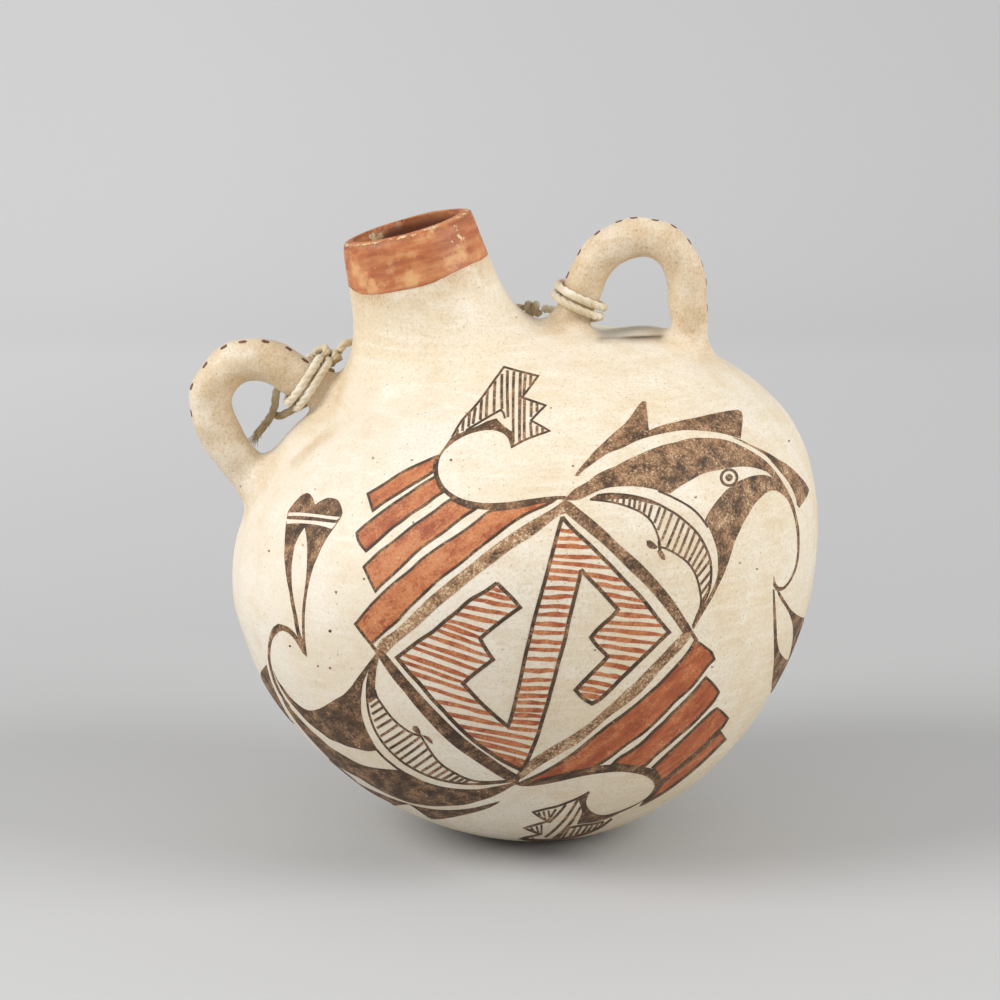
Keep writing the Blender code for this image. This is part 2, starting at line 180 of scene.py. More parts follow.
def leg_place(handle, height):
    """A point of the neck-side leg at this height over the shoulder, the leg's direction and the neck's."""
    route, inward = handle_route(handle)
    i = next(i for i, point in enumerate(route) if over_shoulder(point) >= height)
    low, high = over_shoulder(route[i - 1]), over_shoulder(route[i])
    along = (route[i] - route[i - 1]).normalized()
    across = BACK.cross(along).normalized()
    if across.dot(inward) < 0:
        across.negate()
    return route[i - 1].lerp(route[i], (height - low) / (high - low)), along, across


def winding(centre, along, across, leg_radius, first, last, first_rise, last_rise):
    """A helix round a leg. Its angles are in turns, from the neck side towards the back."""
    count = max(2, round(abs(last - first) * 24))
    points = []
    for i in range(count + 1):
        share = i / count
        angle = 2 * math.pi * (first + (last - first) * share)
        middle = centre + along * (first_rise + (last_rise - first_rise) * share)
        radius = leg_radius * root_swell(middle) + OFF_HANDLE + CORD_DIAMETER / 2
        points.append(middle + (across * math.cos(angle) + BACK * math.sin(angle)) * radius)
    return points


def leave(knot, direction, width):
    """The first two points of a cord that leaves a knot, square to its side."""
    start = knot + direction * (width / 2 + OFF_KNOT)
    return [start, start + direction * CORD_DIAMETER]


def knot_lead(reach, off):
    """How far a winding's end runs straight before it meets the left knot."""
    share = min(2 * max(abs(off + LEFT_KNOT_DROP) - CORD_DIAMETER / 2, 0) / LEFT_KNOT_LENGTH, 1)
    return reach - LEFT_KNOT_WIDTH / 2 * (1 - share**2.6) ** (1 / 2.6) - OFF_KNOT


def plies(route):
    """The centre lines of the cord's three plies, twisted round each other along the route."""
    route = even(route, max(4, round(length_of(route) / PLY_STEP)))
    side = (route[1] - route[0]).orthogonal().normalized()
    lines = [[], [], []]
    run = 0.0
    for i, point in enumerate(route):
        ahead = (route[min(i + 1, len(route) - 1)] - route[max(i - 1, 0)]).normalized()
        side = (side - ahead * side.dot(ahead)).normalized()
        other = ahead.cross(side)
        if i:
            run += (point - route[i - 1]).length
        for ply, line in enumerate(lines):
            angle = 2 * math.pi * (run / PLY_PITCH + ply / 3)
            off = (side * math.cos(angle) + other * math.sin(angle)) * CORD_DIAMETER * PLY_OFFSET
            line.append(point + off)
    return lines


def pick(obj):
    """Leaves only this object selected, as the active one."""
    bpy.ops.object.select_all(action="DESELECT")
    obj.select_set(True)
    bpy.context.view_layer.objects.active = obj


def edit_all(obj, operator, **settings):
    """Runs one edit mode tool on the whole of an object's mesh."""
    pick(obj)
    bpy.ops.object.mode_set(mode="EDIT")
    bpy.ops.mesh.select_all(action="SELECT")
    operator(**settings)
    bpy.ops.object.mode_set(mode="OBJECT")


def tubes(name, lines, radius, thickness=None, sides=PLY_SIDES):
    """One mesh of round closed tubes along the lines. Thickness gives a factor from a point."""
    curve = bpy.data.curves.new(name, "CURVE")
    curve.dimensions = "3D"
    curve.bevel_depth = radius
    curve.bevel_resolution = sides
    curve.use_fill_caps = True
    for line in lines:
        spline = curve.splines.new("POLY")
        spline.points.add(len(line) - 1)
        for i, point in enumerate(line):
            spline.points[i].co = (*point, 1)
            spline.points[i].radius = thickness(point) if thickness else 1
        spline.use_smooth = True
    made = bpy.data.objects.new(name, curve)
    bpy.context.scene.collection.objects.link(made)
    pick(made)
    bpy.ops.object.convert(target="MESH")
    made = bpy.context.object
    edit_all(made, bpy.ops.mesh.remove_doubles, threshold=1e-6)
    edit_all(made, bpy.ops.mesh.normals_make_consistent, inside=False)
    return made


def uneven_yarn(point):
    """Hand-twisted plies are a little thicker and thinner along their length."""
    return 1 + 0.10 * noise.noise(point * 420)


def laid_cord(name, route):
    return tubes(name, plies(route), CORD_DIAMETER * PLY_RADIUS, uneven_yarn)


def tight_knot(centre, along, width, length, turns, tilt):
    """The turns of a pulled-tight knot, wound round the strands that it holds."""
    side = along.orthogonal().normalized()
    other = along.cross(side)
    radius, count = (width - CORD_DIAMETER) / 2, round(turns * 20)
    rise = length - CORD_DIAMETER
    coil = []
    for i in range(count + 1):
        angle = 2 * math.pi * turns * i / count
        up = rise * (i / count - 0.5) + tilt * math.sin(angle)
        coil.append(centre + along * up + (side * math.cos(angle) + other * math.sin(angle)) * radius)
    return coil


def beside(centre, along, across, places):
    """Points round a leg, each by its way towards the neck, to the back and up the leg."""
    return [centre + across * near + BACK * back + along * up for near, back, up in places]


def belongs(piece, slot, *nodes):
    """Ties a piece to the jar's one body and hides the CAD nodes that it stands for. Its slot is not used."""
    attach(piece, "root")
    if nodes:
        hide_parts(*nodes)


def cord_piece(piece, node):
    belongs(piece, "cotton_cord", node)


def hex_colour(text):
    """An sRGB hex colour as linear red, green, blue and alpha."""
    parts = [int(text[i:i + 2], 16) / 255 for i in (1, 3, 5)]
    return [c / 12.92 if c <= 0.04045 else ((c + 0.055) / 1.055) ** 2.4 for c in parts] + [1]


def add_node(tree, kind, settings=None, links=None):
    """Adds a node, with its settings and socket values, and links its named inputs to other sockets."""
    node = tree.nodes.new(kind)
    for key, value in (settings or {}).items():
        if isinstance(key, str) and hasattr(node, key):
            setattr(node, key, value)
        else:
            node.inputs[key].default_value = value
    for key, source in (links or {}).items():
        tree.links.new(source, node.inputs[key])
    return node


def put(tree, node, items):
    """Gives each numbered input of a node a socket to read or a plain value."""
    for index, item in items:
        if isinstance(item, bpy.types.NodeSocket):
            tree.links.new(item, node.inputs[index])
        else:
            node.inputs[index].default_value = item


def noise_at(tree, place, millimetres, detail=3.0, roughness=0.55, stretch=None):
    """Soft noise whose patches are about this many millimetres across."""
    if stretch:
        place = add_node(tree, "ShaderNodeMapping", {"Scale": stretch}, {"Vector": place}).outputs[0]
    return add_node(tree, "ShaderNodeTexNoise", {"Scale": 1000 / millimetres, "Detail": detail,
                                                 "Roughness": roughness}, {"Vector": place}).outputs["Fac"]


def ramp(tree, value, low, high, to_low=0.0, to_high=1.0):
    """A value's way from low to high, as a number from to_low to to_high."""
    return add_node(tree, "ShaderNodeMapRange", {"From Min": low, "From Max": high, "To Min": to_low,
                                                 "To Max": to_high}, {"Value": value}).outputs[0]


def blend_colour(tree, amount, first, second, kind="MIX"):
    """Mixes two colours by an amount. Each of the three is a socket or a value."""
    node = add_node(tree, "ShaderNodeMix", {"data_type": "RGBA", "blend_type": kind})
    put(tree, node, ((0, amount), (6, first), (7, second)))
    return node.outputs[2]


def tint(tree, colour, amount, tone):
    """Lays a tone, given as a hex colour, over a colour by an amount."""
    return blend_colour(tree, amount, colour, hex_colour(tone))


def times(tree, first, second, kind="MULTIPLY"):
    node = add_node(tree, "ShaderNodeMath", {"operation": kind})
    put(tree, node, enumerate((first, second)))
    return node.outputs[0]


def plus(tree, first, second):
    return times(tree, first, second, "ADD")


def new_material(name, roughness, specular=0.5):
    """A new material, its node tree and the place on the object that its patterns are laid out by."""
    made = bpy.data.materials.new(name)
    made.use_nodes = True
    shader = made.node_tree.nodes["Principled BSDF"]
    shader.inputs["Roughness"].default_value = roughness
    shader.inputs["Specular IOR Level"].default_value = specular
    return made, made.node_tree, add_node(made.node_tree, "ShaderNodeTexCoord").outputs["Object"]


def finish_material(made, colour, height=None, strength=0, deep=0):
    """Links the colour, and a bump this deep in metres, to the material's shader."""
    tree = made.node_tree
    shader = tree.nodes["Principled BSDF"]
    tree.links.new(colour, shader.inputs["Base Color"])
    if height is not None:
        bump = add_node(tree, "ShaderNodeBump", {"Strength": strength, "Distance": deep}, {"Height": height})
        tree.links.new(bump.outputs["Normal"], shader.inputs["Normal"])


# The left handle's winding, its knot and the two tails
centre, along, across = leg_place(LEFT_HANDLE, LEFT_TURNS_HEIGHT)
half_rise = TURNS * TURN_PITCH / 2
turns = winding(centre, along, across, LEFT_HANDLE["radius"], 0, -TURNS, -half_rise, half_rise)
reach = LEFT_HANDLE["radius"] + OFF_HANDLE + CORD_DIAMETER + OFF_KNOT + LEFT_KNOT_WIDTH / 2
reach /= math.sqrt(2)
left_turns = [turns[0] + BACK * knot_lead(reach, -half_rise), *turns]
left_turns.append(turns[-1] + across * knot_lead(reach, half_rise))
left_turns = [leaning @ point for point in left_turns]
knot = centre + (across + BACK) * reach - along * LEFT_KNOT_DROP
long_tail = leave(knot, (BACK - across * 3).normalized(), LEFT_KNOT_WIDTH)
long_tail += beside(centre, along, across, (
    (0.0010, 0.0134, 0.0004), (-0.0030, 0.0132, 0.0038), (-0.0066, 0.0118, 0.0065),
    (-0.0100, 0.0106, 0.0071), (-0.0124, 0.0102, 0.0064), (-0.0152, 0.0103, 0.0051),
    (-0.0192, 0.0104, 0.0043), (-0.0232, 0.0103, 0.0046), (-0.0277, 0.0102, 0.0051)))
long_tail = [leaning @ point for point in smooth_route(long_tail, 40)]
short_tail = leave(knot - along * LEFT_KNOT_LENGTH / 3, -across, LEFT_KNOT_WIDTH)
short_tail += beside(centre, along, across, (
    (-0.0010, 0.0112, -0.0056), (-0.0060, 0.0106, -0.0048), (-0.0102, 0.0101, -0.0033),
    (-0.0130, 0.0101, -0.0014), (-0.0164, 0.0104, 0.0006), (-0.0186, 0.0120, 0.0023)))
short_tail = [leaning @ point for point in smooth_route(short_tail, 30)]
left_coil = tight_knot(knot, along, LEFT_KNOT_WIDTH, LEFT_KNOT_LENGTH, LEFT_KNOT_TURNS, 0.0006)
left_coil = [leaning @ point for point in left_coil]

# The run behind the neck, the right knot and the right handle's winding
run = leave(knot - along * LEFT_KNOT_LENGTH / 4, (across * 4 + BACK * 3).normalized(), LEFT_KNOT_WIDTH)
run += [Vector((-0.0426, 0.0170, 0.0802)), Vector((-0.0402, 0.0198, 0.0792))]
for degrees, height in ((140, 0.0776), (120, 0.0764), (95, 0.0756), (70, 0.0751), (50, 0.0751)):
    drop = (RIM_HEIGHT - height) / (RIM_HEIGHT - FOOT_HEIGHT)
    radius = RIM_RADIUS + NECK_TAPER * drop + NECK_FLARE * drop**5 + CORD_DIAMETER / 2 + OFF_NECK
    angle = math.radians(degrees)
    run.append(Vector((NECK_OFFSET + radius * math.cos(angle), radius * math.sin(angle), height)))
knot_way = (Vector((0.0340, 0.0142, 0.0712)) - run[-1]).normalized()
run += leave(RIGHT_KNOT, -knot_way, RIGHT_KNOT_LENGTH)[::-1]
neck_run = [leaning @ point for point in smooth_route(run, 44)]
right_coil = tight_knot(RIGHT_KNOT, knot_way, RIGHT_KNOT_WIDTH, RIGHT_KNOT_LENGTH, RIGHT_KNOT_TURNS, 0.0005)
right_coil = [leaning @ point for point in right_coil]
leg = (*leg_place(RIGHT_HANDLE, RIGHT_TURNS_HEIGHT), RIGHT_HANDLE["radius"])
turns = winding(*leg, 0.5, 0.5 + TURNS, -half_rise, half_rise)
lead = leave(RIGHT_KNOT, knot_way, RIGHT_KNOT_LENGTH)
lead = smooth_route([*lead, *winding(*leg, 0.32, 0.5, -0.0072, -half_rise)[:-1:2], turns[0]], 16)
right_turns = [leaning @ point for point in [*lead, *turns[1:], turns[-1] - leg[2] * CORD_DIAMETER]]

left_knot = laid_cord("cord_left_knot_strands", left_coil)
cord_tail_short = laid_cord("cord_tail_short", short_tail)
left_winding = laid_cord("cord_winding_left", left_turns)
tail = laid_cord("cord_tail_long", long_tail)
frayed = random.Random(11)


def scatter():
    """A random way in space, of random length."""
    return Vector([frayed.gauss(0, 1) for _ in range(3)])


hairs = []
for _ in range(HAIRS):
    root = long_tail[-1 - int(13 * frayed.random() ** 2)]
    drift = (long_tail[-1] - long_tail[-4]).normalized() * frayed.uniform(0.6, 1.1)
    drift += scatter() * HAIR_SPREAD
    droop = Vector((0, 0, -frayed.uniform(*HAIR_DROOP)))
    start = root + scatter() * HAIR_ROOT_SPREAD
    reach_out = frayed.uniform(*HAIR_LENGTH)
    hairs.append([start + drift * reach_out * k / 4 + droop * (k / 4) ** 2 for k in range(5)])
frayed_end = tubes("frayed_cord_end", hairs, HAIR_RADIUS, sides=1)
right_knot = laid_cord("cord_right_knot_strands", right_coil)
run_piece = laid_cord("cord_run_behind_neck", neck_run)
right_winding = laid_cord("cord_winding_right", right_turns)
belongs(frayed_end, "cotton_cord")
belongs(left_knot, "cotton_cord", "cord_left_knot")
belongs(cord_tail_short, "cotton_cord", "cord_short_tail")
belongs(right_knot, "cotton_cord", "cord_right_knot")
cord_piece(left_winding, "cord_left_wrap")
cord_piece(tail, "cord_long_tail")
cord_piece(run_piece, "cord_neck_run")
cord_piece(right_winding, "cord_right_wrap")

# Soft unbleached cotton: pale on the windings, which lie clean on the handles, and grey-brown on the knots,
# the run and the tails, which is soil and painted shade. Fine fibre makes it quite matt.
SOIL_MM, FIBRE_MM = 1000 / 110, 1000 / 1900
soiled_and_shaded_cord = (left_knot, cord_tail_short, tail, frayed_end, right_knot, run_piece)
for name, clean, patch_tone, pieces in (
        ("pale_cotton_cord", "#F3E9D3", "#DDCBA9", (left_winding, right_winding)),
        # The darker copy is soil and painted shade on the knots, the run and the tails
        ("soiled_and_shaded_cotton_cord", "#E2D2B2", "#B29A76", soiled_and_shaded_cord)):
    cotton, tree, place = new_material(name, 0.92)
    cotton.node_tree.nodes["Principled BSDF"].inputs["Sheen Weight"].default_value = 0.2
    tone_mask = noise_at(tree, place, SOIL_MM, 5.0, 0.5)
    fibre = noise_at(tree, place, FIBRE_MM, 3.0, 0.5)
    colour = blend_colour(tree, ramp(tree, tone_mask, 0.42, 0.64), hex_colour(clean), hex_colour(patch_tone))
    colour = blend_colour(tree, 0.22, colour, fibre, "MULTIPLY")
    finish_material(cotton, colour, fibre, 0.5, 0.0003)
    for piece in pieces:
        piece.data.materials.append(cotton)

# Clay jar
# The body, neck and handles are coil-built of one clay and luted together while wet, so that their joints
# run into each other. It is hollow, 5 to 8 mm thick, scraped, covered in a cream slip and stone-polished.
BODY_WALL, BASE_WALL, RIM_WALL = 0.0055, 0.0080, 0.0040
BODY_STEPS, BODY_RINGS, HOLLOW_RINGS = 128, 90, 48
NECK_STEPS, NECK_RINGS, LIP_ROUNDING = 96, 24, 0.0008
BORE_ABOVE, BORE_STRAIGHT, BORE_FOOT_RADIUS, BORE_FOOT_HEIGHT = 0.01, 0.008, 0.0240, 0.0540
REMESH = 0.0017
HANDLE_LUTE, NECK_LUTE, LUTE_RISE = (0.013, 0.021), (0.004, 0.009), (0.005, 0.015)
GRIP_REACH, GRIP_RISE = (0.010, 0.016), (-0.001, 0.006)
LEFT_FLANK_IN, RIGHT_FLANK_OUT = 0.0018, 0.0010
HAND_UNEVENNESS, HANDLE_UNEVENNESS = 0.0005, 0.0008
SCRAPED_GROOVE, GROOVE_HALF = 0.0018, 0.0028
LEFT_PAD, PAD_INWARD, PAD_REACH = 0.0026, 0.005, (0.009, 0.028)
FAR_SIDE_LEFT, FAR_SIDE_RIGHT = -0.0024, 0.0024
GROOVE_PIXELS = ((601, 338), (652, 339))
CREASE_PIXELS = ((600, 338), (663, 336))
FOOT_SHADE_PIXELS = ((338, 418), (285, 464))


def body_outline(shrink, base_shrink, rings):
    """Half of the body's round outline, from the top pole down to the bottom pole."""
    points = []
    for i in range(rings + 1):
        angle = math.pi * i / rings
        side, rise = math.sin(angle), math.cos(angle)
        power, height = 2 / ROUND_ABOVE, BODY_ABOVE - shrink
        if rise <= 0:
            power, height = 2 / ROUND_BELOW, BODY_BELOW - base_shrink
        across = (BODY_RADIUS - shrink) * max(side, 0) ** power if 0 < i < rings else 0
        points.append(Vector((across, 0, math.copysign(height * abs(rise) ** power, rise))))
    return points


def neck_radius(height):
    drop = min(max((RIM_HEIGHT - height) / (RIM_HEIGHT - FOOT_HEIGHT), 0), 1)
    return RIM_RADIUS + NECK_TAPER * drop + NECK_FLARE * drop**5


def off_neck_axis(point):
    return math.hypot(point.x - NECK_OFFSET, point.y)


def spun(name, outline, steps, axis_x=0):
    """One point, extruded along the outline and spun round an upright axis."""
    bpy.ops.object.select_all(action="DESELECT")
    bpy.ops.mesh.primitive_plane_add(size=0.001, location=(0, 0, 0))
    made = bpy.context.object
    made.name = name
    bpy.ops.object.mode_set(mode="EDIT")
    bpy.ops.mesh.select_all(action="SELECT")
    bpy.ops.mesh.merge(type="CENTER")
    bpy.ops.transform.translate(value=outline[0] + Vector((axis_x, 0, 0)))
    for before, after in zip(outline, outline[1:]):
        bpy.ops.mesh.extrude_region_move(TRANSFORM_OT_translate={"value": after - before})
    bpy.ops.mesh.select_all(action="SELECT")
    bpy.ops.mesh.spin(steps=steps, angle=2 * math.pi, center=(axis_x, 0, 0), axis=(0, 0, 1))
    bpy.ops.object.mode_set(mode="OBJECT")
    edit_all(made, bpy.ops.mesh.remove_doubles, threshold=1e-5)
    edit_all(made, bpy.ops.mesh.normals_make_consistent, inside=False)
    return made


def apply_modifier(obj, kind, **settings):
    bpy.context.view_layer.objects.active = obj
    modifier = obj.modifiers.new(kind.lower(), kind)
    for key, value in settings.items():
        setattr(modifier, key, value)
    bpy.ops.object.modifier_apply(modifier=modifier.name)


def near_route(route, point):
    return min((point - place).length for place in route)


def share(value, low, high):
    """How far a value has come from low to high, smoothed, from 0 to 1."""
    part = min(max((value - low) / (high - low), 0), 1)
    return part * part * (3 - 2 * part)


foot = FOOT_HEIGHT - BODY_WALL - BASE_WALL
neck_outline = [Vector((0, 0, RIM_HEIGHT)), Vector((RIM_RADIUS - LIP_ROUNDING, 0, RIM_HEIGHT))]
for i in range(NECK_RINGS + 1):
    height = RIM_HEIGHT - LIP_ROUNDING - (RIM_HEIGHT - LIP_ROUNDING - FOOT_HEIGHT) * i / NECK_RINGS
    neck_outline.append(Vector((neck_radius(height), 0, height)))
neck_outline += [Vector((neck_outline[-1].x, 0, foot)), Vector((0, 0, foot))]
clay_jar = spun("clay_jar", body_outline(0, 0, BODY_RINGS), BODY_STEPS)
lumps, loops = [spun("neck_clay", neck_outline, NECK_STEPS, NECK_OFFSET)], []
for handle in (LEFT_HANDLE, RIGHT_HANDLE):
    loops.append(handle_route(handle)[0])
    lumps.append(tubes("handle_clay", [even(loops[-1], 70)], handle["radius"], root_swell, 6))
pick(clay_jar)
for lump in lumps:
    lump.select_set(True)
bpy.ops.object.join()
apply_modifier(clay_jar, "REMESH", mode="VOXEL", voxel_size=REMESH)
lute = clay_jar.vertex_groups.new(name="luted")
grips = {}
for vertex in clay_jar.data.vertices:
    point = vertex.co
    above = abs(over_shoulder(point)) if point.z > 0 else 1
    nearest = min(near_route(route, point) for route in loops) if point.z > 0.02 else 1
    off_neck = off_neck_axis(point) - neck_radius(point.z) if point.z > 0.04 else 1
    root = 1 - share(above, *LUTE_RISE)
    by_handle = root * (1 - share(nearest, *HANDLE_LUTE))
    by_neck = root * (1 - share(abs(off_neck), *NECK_LUTE))
    lute.add([vertex.index], max(by_handle, by_neck * 0.6), "REPLACE")
    if nearest < 0.02:
        grips[vertex.index] = (1 - share(nearest, *GRIP_REACH)) * share(over_shoulder(point), *GRIP_RISE)
apply_modifier(clay_jar, "SMOOTH", factor=0.5, iterations=5)
apply_modifier(clay_jar, "SMOOTH", factor=0.6, iterations=48, vertex_group="luted")
clay_jar.vertex_groups.clear()

# The unevenness of the hand, the pad at the left handle's foot, and the hollow scraped behind the right one
left_out = Vector((math.sin(LEFT_HANDLE["angle"]), 0, math.cos(LEFT_HANDLE["angle"])))
left_seat = left_out * shoulder(LEFT_HANDLE["angle"]) - handle_route(LEFT_HANDLE)[1] * PAD_INWARD
upright = leaning.inverted()
smooth_tree = BVHTree.FromObject(clay_jar, bpy.context.evaluated_depsgraph_get())
crease = []
for pixel in GROOVE_PIXELS:
    ray = upright.to_3x3() @ pixel_aim(*pixel)
    crease.append(smooth_tree.ray_cast(upright @ camera.location, ray)[0])


def crease_run(point):
    """How far behind the scraped crease a point is, and how far along it as a share, or None away from it."""
    if point.z < 0.03 or (point - crease[0]).length > 0.07 or over_shoulder(point) > 0.006:
        return None
    run = (point.x - crease[0].x) / (crease[1].x - crease[0].x)
    return point.y - crease[0].lerp(crease[1], run).y, run


moved = []
for vertex in clay_jar.data.vertices:
    point, normal = vertex.co.copy(), vertex.normal.copy()
    way = (leaning.to_3x3() @ point).normalized()
    grip = grips.get(vertex.index, 0)
    wave = noise.noise(point * 26) * 0.6 + noise.noise(point * 75) * 0.4
    dent = noise.noise(point * 115 + Vector((7, 3, 1)))
    shift = normal * (wave * HAND_UNEVENNESS * (1 - 0.6 * grip) + dent * HANDLE_UNEVENNESS * grip)
    low = 1 - share(abs(way.z), 0.45, 0.95)
    shift.x += LEFT_FLANK_IN * share(-way.x, 0.80, 1.0) * low * (1 - grip)
    shift.x += RIGHT_FLANK_OUT * share(way.x, 0.80, 1.0) * low
    off_seat = (point - left_seat).length
    if off_seat < PAD_REACH[1] and over_shoulder(point) < 0.006:
        shift += normal * LEFT_PAD * (1 - share(off_seat, *PAD_REACH)) * (1 - grip)
    by_crease = crease_run(point)
    if by_crease is not None:
        behind, run = by_crease
        ends = share(run, -0.2, 0.05) * (1 - share(run, 1.15, 1.4)) * (1 - grip)
        shift -= normal * SCRAPED_GROOVE * math.exp(-(behind / GROOVE_HALF) ** 2) * ends
        raised = FAR_SIDE_LEFT + (FAR_SIDE_RIGHT - FAR_SIDE_LEFT) * share(run, -0.1, 1.25)
        raised *= share(run, -0.5, 0.1) * (1 - share(run, 1.4, 2.1)) * (1 - grip)
        shift += normal * raised * share(behind, 0, 0.008) * (1 - share(behind, 0.030, 0.055))
    moved.extend(point + shift)
clay_jar.data.vertices.foreach_set("co", moved)
clay_jar.data.update()

hollow = spun("hollow", body_outline(BODY_WALL, BASE_WALL, HOLLOW_RINGS), NECK_STEPS)
rim_inside = RIM_RADIUS - RIM_WALL
bore_outline = ((0, RIM_HEIGHT + BORE_ABOVE), (rim_inside, RIM_HEIGHT + BORE_ABOVE),
                (rim_inside, RIM_HEIGHT - BORE_STRAIGHT), (BORE_FOOT_RADIUS, FOOT_HEIGHT),
                (BORE_FOOT_RADIUS, BORE_FOOT_HEIGHT), (0, BORE_FOOT_HEIGHT))
bore = spun("bore", [Vector((radius, 0, height)) for radius, height in bore_outline], NECK_STEPS, NECK_OFFSET)
for cutter in (hollow, bore):
    apply_modifier(clay_jar, "BOOLEAN", operation="DIFFERENCE", solver="EXACT", object=cutter)
    bpy.data.objects.remove(cutter)


def mark(piece, name, levels, domain="POINT"):
    """Stores one number for each point or face, which the piece's material reads by this name."""
    piece.data.attributes.new(name, "FLOAT", domain).data.foreach_set("value", levels)


def pixel_of(point):
    """Where a point of the jar shows in the photograph."""
    ray = point - camera.location
    scale = CAMERA_DISTANCE / -ray.dot(view_back) / PIXEL
    return Vector((IMAGE_SIDE / 2 + ray.dot(view_right) * scale, IMAGE_SIDE / 2 - ray.dot(view_up) * scale))


# Where the clay is bare, where hands soiled it, and where shade is painted on it: on the neck's front,
# below the left handle's foot and behind the crease by the right handle, with a painted shadow along that
# crease. All are stored on the mesh for its material.
inside = []
for face in clay_jar.data.polygons:
    point = face.center
    if point.z > 0.05:
        in_bore = off_neck_axis(point) < neck_radius(point.z) - 0.0032
        inside.append(float(in_bore and point.z < RIM_HEIGHT - 0.001))
    else:
        inside.append(float(face.normal.dot(point.normalized()) < -0.3))
crease_start, crease_end = (Vector(pixel) for pixel in CREASE_PIXELS)
foot_shade = [Vector(pixel) for pixel in FOOT_SHADE_PIXELS]
foot_along = foot_shade[1] - foot_shade[0]
hand_soil_and_shade, painted_shade_behind_crease, painted_crease_shadow, below_crease = [], [], [], []
for vertex in clay_jar.data.vertices:
    point, level = vertex.co, 0.0
    if point.z > 0.02:
        nearest = min(near_route(route, point) for route in loops)
        if nearest < 0.03:
            level = (1 - share(nearest, 0.010, 0.026)) * share(over_shoulder(point), -0.012, 0.010)
    # Browner all round the neck's foot with soil from hands, and most on its front, which is painted shade
    if point.z > 0.07 and abs(off_neck_axis(point) - neck_radius(point.z)) < 0.004:
        level = max(level, (0.4 + 1.0 * share(-point.y, 0.002, 0.018)) * share(point.z, 0.085, 0.105))
    # A wedge of painted shade on the shoulder below the left handle's foot, along the edge of its pad
    if point.y < 0.01 and (point - left_seat).length < 0.06:
        off = pixel_of(leaning @ point) - foot_shade[0]
        run = off.dot(foot_along) / foot_along.length_squared
        side = off.cross(foot_along) / foot_along.length
        tone_mask = share(side, -1.5, 2.5) * (1 - share(side, 3, 18))
        level = max(level, 0.62 * tone_mask * share(run, 0, 0.35) * (1 - share(run, 0.85, 1.05)))
    hand_soil_and_shade.append(level)
    # Painted shade: grey on the far side behind the right handle's crease, and a dark painted shadow along it
    by_crease, far_shade_level, dark, below = crease_run(point), 0.0, 0.0, 0.0
    if by_crease is not None:
        seen = pixel_of(leaning @ point)
        run = (seen.x - crease_start.x) / (crease_end.x - crease_start.x)
        below = seen.y - crease_start.lerp(crease_end, run).y
        ends = share(run, -0.08, 0.02) * (1 - share(run, 0.93, 1.05)) * (1 - 0.5 * level)
        ends *= share(by_crease[0], -0.020, -0.012)
        far_shade_level = (1 - share(by_crease[0], 0.018, 0.028)) * ends
        dark = (0.5 + 0.5 * share(run, 0.2, 0.7)) * ends * (1 - share(by_crease[0], 0.010, 0.018))
    painted_shade_behind_crease.append(far_shade_level)
    painted_crease_shadow.append(dark)
    below_crease.append(below)
mark(clay_jar, "inside", inside, "FACE")
for name, levels in (("hand_soil_and_shade", hand_soil_and_shade), ("painted_shade_behind_crease", painted_shade_behind_crease), ("painted_crease_shadow", painted_crease_shadow),
                     ("below_crease", below_crease)):
    mark(clay_jar, name, levels)
pick(clay_jar)
clay_jar.matrix_world = leaning
bpy.ops.object.transform_apply(location=True, rotation=True, scale=True)
bpy.ops.object.shade_smooth()
edit_all(clay_jar, bpy.ops.mesh.bisect, plane_co=(0, 0, 0), plane_no=(0, 0, 1), use_fill=True,
         clear_inner=True)
bpy.ops.object.shade_smooth_by_angle(angle=math.radians(48))
belongs(clay_jar, "cream_slip", "jar_body", "neck", "left_handle", "right_handle")


def stored(tree, name):
    """The numbers that mark stored on the mesh under this name."""
    return add_node(tree, "ShaderNodeAttribute", {"attribute_name": name}).outputs["Fac"]


def specks(tree, place, millimetres, radius, rarity):
    """Round specks, each in its own cell this wide, in a share of the cells."""
    cells = add_node(tree, "ShaderNodeTexVoronoi", {"Scale": 1000 / millimetres, "Randomness": 1.0},
                     {"Vector": place})
    dot = ramp(tree, cells.outputs["Distance"], radius, radius * 0.55)
    chosen = add_node(tree, "ShaderNodeSeparateColor", links={"Color": cells.outputs["Color"]})
    return times(tree, dot, ramp(tree, chosen.outputs[0], rarity, rarity - 0.02))


# A kaolin slip, polished with a smooth stone: warm cream with whiter rubbed patches, fine pits that hold
# soil, iron specks, faint polishing strokes, and handles brown from hands. A painted highlight whitens the
# left flank, and painted shade lies on the neck's front, below the left handle's foot and by the crease
# behind the right handle. Bare brown clay inside, dark enough to stand in for the shade within too.
slip, tree, place = new_material("polished_cream_slip", 0.5, 0.4)
patches = noise_at(tree, place, 46, 4.0)
clouds = noise_at(tree, place, 11, 5.0, 0.62)
grain = noise_at(tree, place, 1.0, 5.0, 0.75)
fine = noise_at(tree, place, 0.7, 4.0, 0.7, (1.0, 1.0, 0.6))
strokes = noise_at(tree, place, 6, 3.0, 0.6, (0.35, 0.35, 2.8))
tiny = specks(tree, place, 2.7, 0.13, 0.42)
pits = specks(tree, place, 9.0, 0.060, 0.34)
axes = add_node(tree, "ShaderNodeSeparateXYZ", links={"Vector": place}).outputs
soil_and_shade_level = stored(tree, "hand_soil_and_shade")
below = stored(tree, "below_crease")
